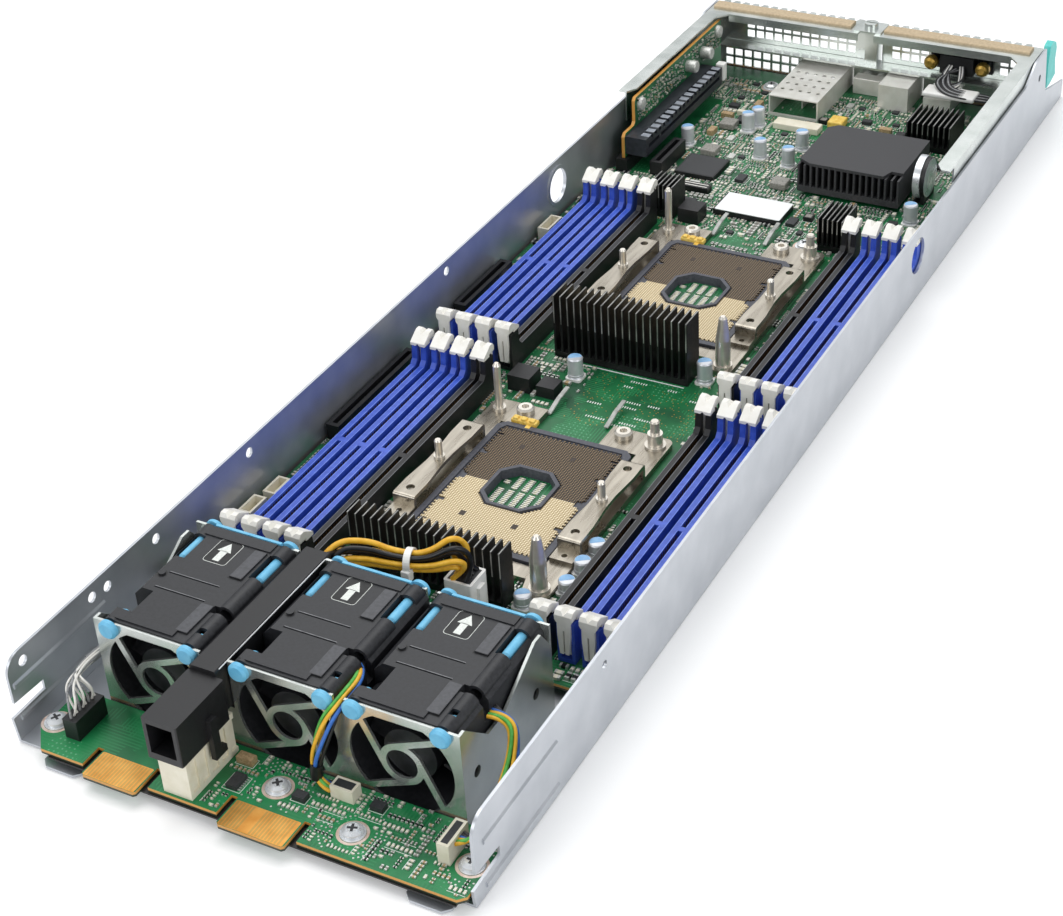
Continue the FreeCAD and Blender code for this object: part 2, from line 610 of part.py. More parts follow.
def fan_housing(name, centre):
    """Two-stage housing: duct block, barrels for the rubber mounts, lips, seams and a motor carrier."""
    body = new_body(name)
    half = "D.fan_half"
    length = "D.fan_length"
    cut = 3.6
    square = [(f"-{half} + {cut}", f"-{half}"), (f"{half} - {cut}", f"-{half}"), (half, f"-{half} + {cut}"),
              (half, f"{half} - {cut}"), (f"{half} - {cut}", half), (f"-{half} + {cut}", half),
              (f"-{half}", f"{half} - {cut}"), (f"-{half}", f"-{half} + {cut}")]
    pad(body, "block", "XZ_Plane", 0, length, square)
    feet = [[(f"{x} * ({half} + 1)", f"-{half} - 1"), (f"{x} * ({half} + 1)", f"8 - {half}"),
             (f"{x} * ({half} - 8)", f"-{half} - 1")] for x in (-1, 1)]
    for stage, (low, high) in enumerate(((8, 25), (31, 48))):
        pocket(body, f"waist_{stage}", "XZ_Plane", low, high, *feet)
    shoulder = [(11.7, 22), (11.7, 17), (22, 8.6), (22, 22)]
    pocket(body, "right_shoulder", "XZ_Plane", 16.5, 20, shoulder)
    pocket(body, "left_shoulder", "XZ_Plane", 6, 18, [(f"-{x}", z) for x, z in shoulder])
    right_barrel = disc("D.mount_x", "D.mount_z", 3.3)
    left_barrel = disc("-D.mount_x", "D.mount_z", 3.3)
    pad(body, "front_barrels", "XZ_Plane", 0, 5.8, right_barrel, left_barrel)
    pad(body, "long_barrel", "XZ_Plane", 5.8, 16.5, right_barrel)
    pad(body, "lead_barrel", "XZ_Plane", 20, 37, right_barrel)
    pad(body, "rear_barrels", "XZ_Plane", 50, length, right_barrel, left_barrel)
    pad(body, "front_lip", "XZ_Plane", 1, 5.6, rect(-17, f"{half} - 1", 8.4, f"{half} + 0.6"))
    pad(body, "rear_lip", "XZ_Plane", 51, add(length, -0.4), rect(-15, f"{half} - 1", 12.4, f"{half} + 0.5"))
    ledge = rect(7.2, f"{half} - 1", 12, f"{half} + 0.6")
    pad(body, "front_ledge", "XZ_Plane", 4, 19, ledge)
    pad(body, "rear_ledge", "XZ_Plane", 34.5, 50, ledge)
    pad(body, "lead_hook", "XY_Plane", f"{half} - 1", f"{half} + 0.7", disc(-14.8, 27, 1.3))
    seam = rect(-13, f"{half} - 0.4", 7.2, f"{half} + 0.4")
    pocket(body, "front_seam", "XZ_Plane", 20, 20.5, seam)
    pocket(body, "rear_seam", "XZ_Plane", 28.3, 28.8, seam)
    groove_low = "D.mount_z - 1.9"
    grooves = [rect(f"{x} - 2.5", groove_low, f"{x} + 2.5", f"{half} + 2")
               for x in ("D.mount_x", "-D.mount_x")]
    pocket(body, "tail_grooves", "XZ_Plane", 37, 50, *grooves)
    pocket(body, "tail_window", "XZ_Plane", 5.6, 8.4,
           rect("D.mount_x - 1.4", "D.mount_z", "D.mount_x + 1.4", f"{half} + 2"))
    pocket(body, "lead_mouth", "XZ_Plane", 19, 27, disc("D.mount_x", "D.mount_z", 2.2))
    bores = [disc("D.mount_x", "D.mount_z", 2.1), disc("-D.mount_x", "D.mount_z", 2.1)]
    pocket(body, "front_bores", "XZ_Plane", -1, 9, *bores)
    pocket(body, "rear_bores", "XZ_Plane", 49, add(length, 1), *bores)
    pocket(body, "duct", "XZ_Plane", -1, add(length, 1), disc(0, 0, "D.duct_radius"))
    carrier = ("D.fan_length / 2 - 3", "D.fan_length / 2 + 3")
    pad(body, "struts", "XZ_Plane", *carrier, rect(f"-{half} + 1", -1.2, f"{half} - 1", 1.2))
    pad(body, "upright_struts", "XZ_Plane", *carrier, rect(-1.2, f"-{half} + 1", 1.2, f"{half} - 1"))
    pad(body, "motor_seat", "XZ_Plane", *carrier, disc(0, 0, "D.rotor_hub"))
    pad(body, "shaft", "XZ_Plane", 6, "D.fan_length - 6", disc(0, 0, "D.shaft_radius"))
    return place(body, centre, "D.fan_front", "D.fan_z")


def rotor_blade(hand):
    """A twisted, cambered blade between the hub and the tip circle."""
    sections = []
    for radius, pitch in ((num("D.rotor_hub") - 0.6, 52), (num("D.rotor_radius") - 0.3, 34)):
        tilt = math.radians(pitch)
        chord = 15.5
        thick = 0.9
        camber = 1.6

        def point(along_chord, off):
            axial = along_chord * math.sin(tilt) + off * math.cos(tilt)
            side = along_chord * math.cos(tilt) - off * math.sin(tilt)
            return Vector(hand * side, axial, radius)

        lower = [point(-chord / 2, 0), point(0, camber), point(chord / 2, 0)]
        upper = [point(chord / 2, thick), point(0, camber + thick), point(-chord / 2, thick)]
        outline = [Part.Arc(*lower), Part.LineSegment(lower[2], upper[0]),
                   Part.Arc(*upper), Part.LineSegment(upper[2], lower[0])]
        sections.append(Part.Wire([curve.toShape() for curve in outline]))
    return Part.makeLoft(sections, True, True)


def rotor_shape(hand):
    """Hub cup with its shaft bore, and a ring of blades trimmed to the tip circle."""
    axis = Vector(0, 1, 0)
    length = num("D.rotor_length")
    hub = num("D.rotor_hub")
    start = Vector(0, -length / 2, 0)
    shape = Part.makeCylinder(hub, length, start, axis)
    blade = rotor_blade(hand)
    for index in range(int(num("D.fan_blades"))):
        turned = blade.copy()
        turned.rotate(Vector(), axis, index * 360 / num("D.fan_blades"))
        shape = shape.fuse(turned)
    tip = Part.makeCylinder(num("D.rotor_radius"), length, start, axis)
    bore = Part.makeCylinder(num("D.shaft_radius + D.running_fit"), length, start, axis)
    return shape.common(tip).cut(bore).removeSplitter()


def fans():
    inlet_shape = rotor_shape(1)
    outlet_shape = rotor_shape(-1)
    middle = "D.fan_front + D.fan_length / 2"
    reach = "D.rotor_length / 2 + 4"
    for index, centre in enumerate(FAN_CENTRES, start=1):
        keep(f"fan_housing_{index}", fan_housing(f"fan_housing_{index}", centre))
        for stage, shape, y in (("inlet", inlet_shape, f"{middle} - ({reach})"),
                                ("outlet", outlet_shape, f"{middle} + {reach}")):
            rotor = doc.addObject("Part::Feature", f"fan_rotor_{stage}_{index}")
            rotor.Shape = shape
            keep(f"fan_rotor_{stage}_{index}", place(rotor, centre, y, "D.fan_z"))


def rubber_mount(name, tail):
    """A rubber mount: a flat head outside the plate, a neck in its slot and a tail in the housing."""
    head = "D.mount_head"
    plate = "D.gauge + 0.2"
    rim = f"{plate} + 1.4"
    crown = f"{plate} + 2.2"
    mount = lathe(name, [(0, -tail), (1, -tail), (1.8, 1 - tail), (1.8, plate), (head, plate), (head, rim),
                         (f"{head} - 0.8", crown), (0, crown)], (0, 0, 0))
    doc.recompute()
    return mount.Shape


def fan_grommets():
    """Four mounts to a fan, and the rubber strip that joins the rear pair over the plate's edge."""
    front_mount = rubber_mount("front_mount", 8.2)
    rear_mount = rubber_mount("rear_mount", 17.6)
    strip_reach = num("D.mount_x") - 2.2
    plate = num(FAN_REAR) + 0.2
    shapes = []
    for centre in FAN_CENTRES:
        for side in (-1, 1):
            x = num(f"{centre} + {side} * D.mount_x")
            z = num("D.fan_z + D.mount_z")
            for mount, y, turn in ((front_mount, num("D.fan_front"), 90), (rear_mount, num(FAN_REAR), -90)):
                shape = mount.copy()
                shape.rotate(Vector(), Vector(1, 0, 0), turn)
                shape.translate(Vector(x, y, z))
                shapes.append(shape)
        corner = Vector(num(centre) - strip_reach, plate - 0.1, num("D.frame_top"))
        shapes.append(Part.makeBox(2 * strip_reach, num("D.gauge") + 0.1, 1.1, corner))
    item = doc.addObject("Part::Feature", "fan_grommets")
    item.Shape = Part.makeCompound(shapes)
    return keep("fan_grommets", item)


# Cords held by the tray, and what they plug into

def fan_leads():
    lead_b = tube("lead_b", [(22.8, -246, 37), (26.3, -246, 40.5), (27.4, -266.8, 41), (25.2, -270.6, 35),
                             (20.4, -272, 18), (19.6, -272, 8.8), (25.8, -272, 8.8)], 1.3)
    lead_c = tube("lead_c", [(68, -243, 32.4), (75.4, -243, 32.4), (78.4, -248, 24), (80.6, -260, 16.5),
                             (82.4, -277.6, 12), (74.6, -277.6, 12)], 1.3)
    return keep("fan_leads", group("fan_leads", [lead_b, lead_c]))


def signal_lead():
    route = [(-66, -279.5, 14), (-66, -279.5, 20.5), (-71.5, -273, 22), (-76, -262, 18), (-77, -240, 14.5),
             (-76.4, -215, 12.5), (-79, -192, 12.8), (-80.5, -178, 9.6), (-80.5, -166, 9.6)]
    return keep("signal_lead", tube("signal_lead", route, 1.8))


def power_cable():
    route = [(-20, -204, 33), (-20, -193, 33), (-6, -186.5, 33.4), (9, -185.5, 37.6), (21.5, -178.5, 40.5),
             (21.5, -178.5, 25)]
    return keep("power_cable", tube("power_cable", route, 3.6))


def power_connector():
    body = new_body("power_connector")
    shell = pad(body, "shell", "XY_Plane", "D.board_top", 25, rect(16, -184, 27, -173))
    round_edges(body, "soft", shell, 0.8, lambda edge: along(edge, 2))
    pad(body, "latch_rib", "XY_Plane", 12, 22, rect(27, -180.5, 28.2, -176.5))
    return keep("power_connector", body)


def header(name, low, high):
    """Open-topped pin header: a thin box with a slot in one long side."""
    body = new_body(name)
    wall = 0.9
    pad(body, name + "_block", "XY_Plane", low[2], high[2], rect(low[0], low[1], high[0], high[1]))
    pocket(body, name + "_well", "XY_Plane", low[2] + 2, high[2] + 1,
           rect(low[0] + wall, low[1] + wall, high[0] - wall, high[1] - wall))
    return body


def lead_headers():
    lead_plug = block("lead_plug_b", (25.8, -274, "D.board_top"), (34.2, -269, 11))
    side_plug = block("lead_plug_c", (70.4, -284, "D.board_top"), (74.6, -272, 14))
    lower = header("header_a", (-83.4, -166, 6), (-77.8, -155, 13))
    upper = header("header_b", (-82.6, -151, 6), (-77.2, -140, 12))
    far = header("header_c", (-83.6, 72.5, 6), (-78, 86, 12))
    return keep("lead_headers", group("lead_headers", [lead_plug, side_plug, lower, upper, far]))


def bridge_connector():
    body = new_body("bridge_connector")
    pad(body, "base", "XY_Plane", "D.board_top", 22.4, rect(-24, -294, -13, -268.4))
    first = pocket(body, "rib_gap", "XY_Plane", 8, 20, rect(-13.8, -292.5, -12.5, -289))
    pattern(body, "rib_gaps", first, "Y_Axis", 5.2, 5)
    return keep("bridge_connector", body)


def bridge_cap():
    """Hollow cap, open at the docking end, with a snap clip on its right side."""
    body = new_body("bridge_cap")
    shell = pad(body, "shell", "XY_Plane", 22.4, 38.6, rect(-25.2, -296.6, -11.8, -271.2))
    round_edges(body, "soft", shell, 0.6, lambda edge: along(edge, 2))
    pocket(body, "mouth", "XZ_Plane", -297, -279, rect(-23.4, 25, -13.6, 36.8))
    clip = [(-283, 31), (-283, 15), (-277, 15), (-277, 17.5), (-279.6, 17.5), (-279.6, 31)]
    pad(body, "clip", "YZ_Plane", -11.8, -9.8, clip)
    return keep("bridge_cap", body)


def bridge_board():
    """Covered bridge card between the first two fans: an inverted channel with closed ends."""
    body = new_body("bridge_board")
    cover = pad(body, "cover", "XZ_Plane", -271.2, -204, rect(-24.8, 22.6, -14.8, "D.frame_top"))
    round_edges(body, "soft", cover, 0.8, lambda edge: along(edge, 1) and edge.CenterOfMass.z > 40)
    pocket(body, "channel", "XZ_Plane", -269, -207, rect(-23.6, 22, -16, 38.4))
    return keep("bridge_board", body)


# Processor sockets with their bolster plates, springs and posts

def cpu_sockets():
    body = new_body("socket")
    frame = [(-26, -38.5), (26, -38.5), (29, -35.5), (29, 35.5), (26, 38.5), (-26, 38.5), (-29, 35.5),
             (-29, -35.5)]
    pad(body, "frame", "XY_Plane", 0, 3.6, frame)
    field = [(-25, -36), (25, -36), (26.6, -33), (26.6, 33), (25, 36), (-25, 36), (-26.6, 33), (-26.6, -33)]
    pocket(body, "field", "XY_Plane", 2.9, 4, field)

    def octagon(reach_x, reach_y, cut):
        return [(-reach_x + cut, -reach_y), (reach_x - cut, -reach_y), (reach_x, -reach_y + cut),
                (reach_x, reach_y - cut), (reach_x - cut, reach_y), (-reach_x + cut, reach_y),
                (-reach_x, reach_y - cut), (-reach_x, -reach_y + cut)]

    pad(body, "window_rim", "XY_Plane", 2.9, 4.2, octagon(13, 13.5, 6))
    pocket(body, "window", "XY_Plane", -1, 5, octagon(11.6, 12.1, 5.4))
    places = [("D.socket_x", row, "D.board_top") for row in SOCKET_ROWS]
    return keep("cpu_sockets", copies("cpu_sockets", body, places))


def bolster_plates():
    """Stainless frame with two ears at its near edge, and open in the middle of its far edge."""
    body = new_body("bolster")
    outline = [(-39, -53.5), (-29, -53.5), (-27, -46), (27, -46), (29, -53.5), (39, -53.5), (39, 53.5),
               (-39, 53.5)]
    plate = pad(body, "plate", "XY_Plane", 0, "D.bolster_thick", outline)
    outer = [(-39, -53.5), (39, -53.5), (39, 53.5), (-39, 53.5)]
    round_edges(body, "corner", plate, 3, lambda edge: along(edge, 2)
                and any(at_point(edge, 0, x, 1, y) for x, y in outer))
    pocket(body, "opening", "XY_Plane", -1, 4, rect(-29.4, -39, 29.4, 39))
    pocket(body, "far_gap", "XY_Plane", -1, 4, rect(-16, 38, 13, 55))
    places = [("D.socket_x", row, "D.board_top") for row in SOCKET_ROWS]
    return keep("bolster_plates", copies("bolster_plates", body, places))


def spring_bars():
    """Waisted leaf bars with turned-down ends; the near end turns out again as a foot on the bolster."""
    body = new_body("bar")
    foot = "D.bolster_thick"
    foot_top = "D.bolster_thick + 1.6"
    top = "D.bar_top"
    end = "D.bar_half"
    under = "D.bar_top - 1.6"
    side = [(-33.5, foot), (f"-{end} + 1.6", foot), (f"-{end} + 1.6", under), (f"{end} - 1.6", under),
            (f"{end} - 1.6", foot), (end, foot), (end, top), (f"-{end}", top), (f"-{end}", foot_top),
            (-33.5, foot_top)]
    leaf = pad(body, "leaf", "YZ_Plane", -4.6, 4.6, side)
    bends = [num(f"-{end}"), num(end)]
    round_edges(body, "bend", leaf, 1.4, lambda edge: along(edge, 0)
                and any(at_point(edge, 1, y, 2, num(top)) for y in bends))
    waist = [[(s * 4.8, -19), (s * 4.8, 19), (s * 3.5, 4), (s * 3.5, -4)] for s in (-1, 1)]
    pocket(body, "waist", "XY_Plane", 1, 10, *waist)
    pocket(body, "holes", "XY_Plane", 1, 10, disc(0, -21.5, 1.7), disc(0, 21.5, 1.7), disc(0, -30.5, 1.1))
    places = [(f"D.socket_x + {side_sign} * D.bar_offset", row, "D.board_top")
              for row in SOCKET_ROWS for side_sign in (-1, 1)]
    return keep("spring_bars", copies("spring_bars", body, places))


def guide_posts():
    """Tapered guide pin, thin guide pin, threaded nut post, bolster screws, and studs on the spring bars."""
    plate_top = "D.board_top + D.bolster_thick"
    tapered = lathe("tapered_pin", [(0, 0), (3.9, 0), (3.9, 1.4), (3.1, 1.4), (3.1, 13), (1.7, 22.6),
                                    (0.9, 23.6), (0, 23.6)], (0, 0, 0))
    thin = lathe("thin_pin", [(0, 0), (2.7, 0), (2.7, 1.4), (1.6, 1.4), (1.6, 20.4), (0.8, 21.6), (0, 21.6)],
                 (0, 0, 0))
    nut = lathe("nut_post", [(0, 0), (4.2, 0), (4.2, 1), (3, 1), (3, 6), (1.9, 6), (1.9, 11), (1.4, 11.6),
                             (0, 11.6)], (0, 0, 0))
    stud = lathe("stud", [(0, 0), (2.2, 0), (2.2, 1), (1.5, 1), (1.5, 7.4), (1.1, 8), (0, 8)], (0, 0, 0))
    screw = lathe("bolster_screw", [(0, 0), (3.6, 0), (3.6, 1.9), (2.8, 2.6), (1.5, 2.6), (1.5, 1.2),
                                    (0, 1.2)], (0, 0, 0))
    sets = [(tapered, 34.4, -49.6, plate_top), (thin, -34, 46.2, plate_top), (nut, 33.6, 47.4, plate_top),
            (screw, -23.5, 48.6, plate_top), (screw, 19.5, 48.6, plate_top),
            (stud, -34.4, 0, "D.board_top + D.bar_top"), (stud, 34.4, 0, "D.board_top + D.bar_top")]
    posts = []
    for index, (post, x, y, z) in enumerate(sets):
        places = [(f"D.socket_x + {x}", f"{row} + {y}", z) for row in SOCKET_ROWS]
        posts.append(copies(f"post_set_{index}", post, places))
    return keep("guide_posts", group("guide_posts", posts))


# Memory slots, and one row of latches at each end of each bank

def slot_body():
    """Slot: two ridges along a groove, and at each end a tower of two pillars before a fork for the latch."""
    body = new_body("memory_slot")
    half = "D.slot_half"
    ridge = "D.ridge_height"
    tower = "D.tower_height"
    pillar = f"{half} - D.tower_depth"
    side = [(f"-{half}", 0), (half, 0), (half, tower), (pillar, tower), (f"{pillar} - 0.6", f"{ridge} + 2"),
            (f"{pillar} - 2.4", ridge), (f"-({pillar}) + 2.4", ridge), (f"-({pillar}) + 0.6", f"{ridge} + 2"),
            (f"-({pillar})", tower), (f"-{half}", tower)]
    pad(body, "ridges", "YZ_Plane", "-D.slot_width / 2", "D.slot_width / 2", side)
    fork = f"{half} - D.fork_depth"
    pocket(body, "card_groove", "XY_Plane", 2.5, 20, rect(-0.9, f"-({fork}) - 0.2", 0.9, 2),
           rect(-0.9, 4.6, 0.9, f"{fork} + 0.2"))
    forks = [rect("-D.fork_half", fork, "D.fork_half", f"{half} + 1"),
             rect("-D.fork_half", f"-{half} - 1", "D.fork_half", f"-({fork})")]
    pocket(body, "forks", "XY_Plane", 1.6, 20, *forks)
    return body


def memory_slots():
    slot = slot_body()
    banks = ("D.bank_front_y", "D.bank_rear_y")
    steps = [f"{index} * D.slot_pitch" for index in range(3)]
    left = [(add("D.slot_left_x", step), bank, "D.board_top") for bank in banks for step in steps]
    right = [(add("D.slot_right_x", step), bank, "D.board_top") for bank in banks for step in steps]
    black = [(x, bank, "D.board_top") for bank in banks
             for x in ("D.slot_left_x + 3 * D.slot_pitch", "D.slot_right_x - D.slot_pitch")]
    keep("memory_slots_left", copies("memory_slots_left", slot, left))
    keep("memory_slots_right", copies("memory_slots_right", slot, right))
    keep("memory_slots_black", copies("memory_slots_black", slot, black))


def latch_shape():
    """Latch about its pivot: a stem in the fork, a cover outside it, and a head that slopes to the slot."""
    body = new_body("memory_latch")
    top = "D.latch_height"
    stem = [(-1.6, -2.2), (0.5, -2.2), (1.2, 3), (1.2, 13), (-3, 13), (-3, 3)]
    pad(body, "stem", "YZ_Plane", -1.7, 1.7, stem)
    cover = [(-1.7, -0.5), (1.7, -0.5), (2.4, 7), (2.4, 14), (-2.4, 14), (-2.4, 7)]
    pad(body, "cover", "XZ_Plane", -4, -2.9, cover)
    head = [(-4, 12.6), (-4, 15.6), (-3, top), (-0.8, top), (4.4, 13.7), (4.4, 12.4), (0, 12.4)]
    pad(body, "head", "YZ_Plane", -3.3, 3.3, head)
    taper = [(2.4, 12.2), (4, 12.2), (4, 15)]
    pocket(body, "tapers", "XZ_Plane", -5, 0, taper, [(f"-{x}", z) for x, z in taper])
    over = f"{top} + 0.4"
    pocket(body, "thumb_notch", "XZ_Plane", -5, 1.5, [(-1.6, over), (0, f"{top} - 1.2"), (1.6, over)])
    pocket(body, "card_notch", "XZ_Plane", 1.4, 5, [(-1.2, 12), (1.2, 12), (0, 13.4)])
    pocket(body, "cover_groove", "XZ_Plane", -4.2, -3.5, rect(-0.3, -1, 0.3, 9.5))
    doc.recompute()
    return body.Shape


def memory_latches():
    near = latch_shape()
    far = near.copy()
    far.rotate(Vector(), Vector(0, 0, 1), 180)
    for bank in ("front", "rear"):
        for side, first in (("left", "D.slot_left_x"), ("right", "D.slot_right_x - D.slot_pitch")):
            for end, sign, shape in (("near", -1, near), ("far", 1, far)):
                name = f"memory_latches_{bank}_{side}_{end}"
                row = []
                for index in range(4):
                    latch = shape.copy()
                    latch.translate(Vector(num(f"{first} + {index} * D.slot_pitch"),
                                           num(f"D.bank_{bank}_y + {sign} * D.latch_pivot_y"),
                                           num("D.board_top + D.latch_pivot_z")))
                    row.append(latch)
                item = doc.addObject("Part::Feature", name)
                item.Shape = Part.makeCompound(row)
                keep(name, item)


# Heat sinks

def heat_sink(name, low, high, fins):
    """Base plate with a row of straight fins that run along Y."""
    body = new_body(name)
    footprint = rect(low[0], low[1], high[0], high[1])
    pad(body, name + "_base", "XY_Plane", low[2], f"{low[2]} + D.fin_base", footprint)
    fin = pad(body, name + "_fin", "XY_Plane", f"{low[2]} + D.fin_base", high[2],
              rect(low[0], low[1], f"{low[0]} + D.fin_thick", high[1]))
    step = f"({high[0]} - {low[0]} - D.fin_thick) / {fins - 1}"
    pattern(body, name + "_fins", fin, "X_Axis", step, fins)
    return body


def finned_heatsinks():
    sinks = [heat_sink("sink_front", (-31, -170.2, 6), (31, -162, 30.5), 20),
             heat_sink("sink_middle", (-30, -14, 6), (30, -2.4, 35), 20),
             heat_sink("sink_left", (-47, 113.2, 6), (-35, 127, 22), 6),
             heat_sink("sink_right", (36, 111, 6), (48, 129, 22), 6),
             heat_sink("sink_port", (38, 221, 6), (60, 243, 20), 9)]
    return keep("finned_heatsinks", group("finned_heatsinks", sinks))


def chipset_heatsink():
    """Finned block under a flat lid whose near corners are stepped back."""
    body = heat_sink("chipset_heatsink", (8, 157.5, 8), (57, 200, 21.6), 17)
    lid = [(14, 157.5), (49.5, 157.5), (51.5, 163.5), (57, 163.5), (57, 200), (12, 200), (8, 196), (8, 161)]
    pad(body, "lid", "XY_Plane", 21.6, 23, lid)
    return keep("chipset_heatsink", body)


# Riser card and its slot

def riser_card():
    body = new_body("riser_card")
    outline = [(150, 7.6), (264, 7.6), (264, "D.riser_top"), (163.4, "D.riser_top"), (162, 36.5), (162, 26),
               (160.5, 24.6), (151.5, 24.6), (150, 23)]
    pad(body, "card", "YZ_Plane", "D.riser_x", "D.riser_x + D.riser_thick", outline)
    return keep("riser_card", body)


def riser_slot():
    """Long card-edge slot that faces across the tray, with a keyed groove and open contact bays."""
    body = new_body("riser_slot")
    face = "D.riser_x + D.riser_thick"
    pad(body, "housing", "XY_Plane", 14.4, 23.4, rect(face, 150.5, f"{face} + 11", 240))
    pocket(body, "groove", "YZ_Plane", f"{face} + 3", f"{face} + 12", rect(154, 18, 165.5, 19.8),
           rect(167.5, 18, 237, 19.8))
    first = pocket(body, "bay", "XY_Plane", 21.6, 24, rect(f"{face} + 6", 156, f"{face} + 12", 158.4))
    pattern(body, "bays", first, "Y_Axis", 4.6, 18)
    return keep("riser_slot", body)


# Ports

def shell_box(name, low, high, wall, mouth):
    """Thin-walled metal cage, open at its rear mouth."""
    body = new_body(name)
    pad(body, name + "_block", "XY_Plane", low[2], high[2], rect(low[0], low[1], high[0], high[1]))
    pocket(body, name + "_mouth", "XZ_Plane", low[1] + mouth, high[1] + 1,
           rect(low[0] + wall, low[2] + wall, high[0] - wall, high[2] - wall))
    return body


def sfp_cage():
    body = shell_box("sfp_cage", (-37, 231.6, 6), (-11, 282.6, 17), 0.5, 1.2)
    pocket(body, "near_window", "XZ_Plane", 230, 236, rect(-36.3, 7.4, -11.7, 16.4))
    pocket(body, "open_floor", "XY_Plane", 5, 6.6, rect(-36.5, 233, -11.5, 262))
    pad(body, "divider", "YZ_Plane", -24.3, -23.7, rect(244, 6.2, 282.6, 16.8))
    cooling = [disc(-33.4 + 4.7 * column, 241 + 7 * row, 1) for column in range(5) for row in range(4)]
    pocket(body, "cooling_holes", "XY_Plane", 16, 18, *cooling)
    return keep("sfp_cage", body)


def port_shells():
    lan = shell_box("lan_shell", (10.5, 258, 6), (26, 282.6, 19), 0.6, 8)
    usb = shell_box("usb_shell", (32, 264, 6), (46, 282.6, 13), 0.5, 6)
    return keep("port_shells", group("port_shells", [lan, usb]))


def serial_port():
    """Nine-pin port: a flange behind the bracket face, a D-shaped shell, and two jack screws."""
    body = new_body("serial_body")
    pad(body, "flange", "XZ_Plane", 278.8, 280.2, rect(30.2, 23.6, 61.8, 35.4))
    pad(body, "insulator", "XZ_Plane", 270, 278.8, rect(37.6, 24.8, 54.4, 34.2))
    pad(body, "shell", "XZ_Plane", 280.2, 286, [(37.4, 33.6), (38.6, 25.4), (53.4, 25.4), (54.6, 33.6)])
    pocket(body, "shell_well", "XZ_Plane", 281.5, 287, [(38.2, 33), (39.2, 26), (52.8, 26), (53.8, 33)])
    jacks = [rod(f"jack_{index}", 2.2, 8, (x, 270.8, 29.5), ALONG_Y) for index, x in enumerate((33, 59))]
    return keep("serial_port", group("serial_port", [body] + jacks))


def serial_lead():
    route = [(46, 270, 28), (46, 260, 28), (54, 251, 24), (66, 253, 22), (72.5, 263, 18), (72.5, 263, 6)]
    return keep("serial_lead", tube("serial_lead", route, 2.2))


def buttons():
    """Two push buttons through the port plate, each with a retaining flange inside."""
    for name, x in (("power_button", -3.5), ("id_button", 4)):
        body = new_body(name)
        pad(body, name + "_cap", "XZ_Plane", "D.tray_rear - 1.1", "D.tray_rear + 1.6", disc(x, 11, 1.9))
        pad(body, name + "_flange", "XZ_Plane", "D.tray_rear - 2.5", "D.tray_rear - 1.1", disc(x, 11, 2.9))
        keep(name, body)


# Small parts soldered to the boards

def coin_cell():
    middle_z = "D.board_top + D.cell_radius + 0.8"
    cell = rod("coin_cell", "D.cell_radius", "D.cell_thick", (60.4, 176, middle_z), ALONG_X)
    return keep("coin_cell", cell)


def capacitors():
    """Can capacitors: tall ones at the port end, short ones beside the front socket."""
    def can(name, height):
        return lathe(name, [(0, 0), (3.3, 0), (3.3, 1), (3.0, 1.4), (3.15, 2), (3.15, height - 0.6),
                            (2.6, height), (0, height)], (0, 0, 0))

    tall = [(-39, 210.5), (-36.6, 217.6), (-22.2, 185.5), (-6.4, 182.2), (-7, 201.4), (-60.5, 186),
            (65.8, 149.6), (-14.5, -25.5), (35, -8)]
    short = [(46.6, -128.3), (46.6, -139.8), (46.6, -152.1), (36, -165.4)]
    high = copies("tall_cans", can("tall_can", 10), [(x, y, "D.board_top") for x, y in tall])
    low = copies("short_cans", can("short_can", 6), [(x, y, "D.board_top") for x, y in short])
    return keep("capacitors", group("capacitors", [high, low]))


def black_parts():
    """Black parts on the boards: low slots, chips, chokes, the cell holder and a pin header."""
    def grooved(name, low, high, groove):
        body = new_body(name)
        pad(body, name + "_block", "XY_Plane", low[2], high[2], rect(low[0], low[1], high[0], high[1]))
        middle = (low[0] + high[0]) / 2
        pocket(body, name + "_groove", "XY_Plane", low[2] + 1.4, high[2] + 1,
               rect(middle - groove, low[1] + 2, middle + groove, high[1] - 2))
        return body

    parts = [grooved("edge_slot_a", (-84.4, -104, 6), (-78.6, -42, 13), 1.1),
             grooved("edge_slot_b", (-84.4, -3, 6), (-78.6, 39, 13), 1.1),
             grooved("riser_base", (-80.8, 147.4, 6), (-74.8, 266, 12.6), 0.95),
             grooved("low_slot", (-64, 150, 6), (-58, 178, 13), 1.1)]
    flat = [("pin_header", (-68.8, -287, 6), (-63.2, -272, 14)),
            ("bmc", (-53, 154, 6), (-33, 174, 8.4)), ("mezzanine", (-20, 124.5, 6), (12.5, 142, 9)),
            ("strip", (-50, 141, 6), (-30, 146, 9)), ("chipset", (15, 162, 6), (50, 196, 8)),
            ("holder_foot", (60, 170, 6), (63.7, 182, 6.6)),
            ("choke_a", (-36, -44, 6), (-26, -34, 13)), ("choke_b", (-32, 112, 6), (-22, 122, 13)),
            ("choke_c", (-23, -44, 6), (-15, -36, 11)), ("button_switches", (-7, 271, 6), (7.5, 277.6, 14))]
    parts += [block(name, low, high) for name, low, high in flat]
    holder = new_body("holder_back")
    pad(holder, "round_back", "YZ_Plane", 63.7, 65.6, disc(176, 16.8, 9.4))
    pad(holder, "holder_stem", "YZ_Plane", 63.7, 65.6, rect(169, 6, 183, 16))
    parts.append(holder)
    return keep("board_parts_black", group("board_parts_black", parts))


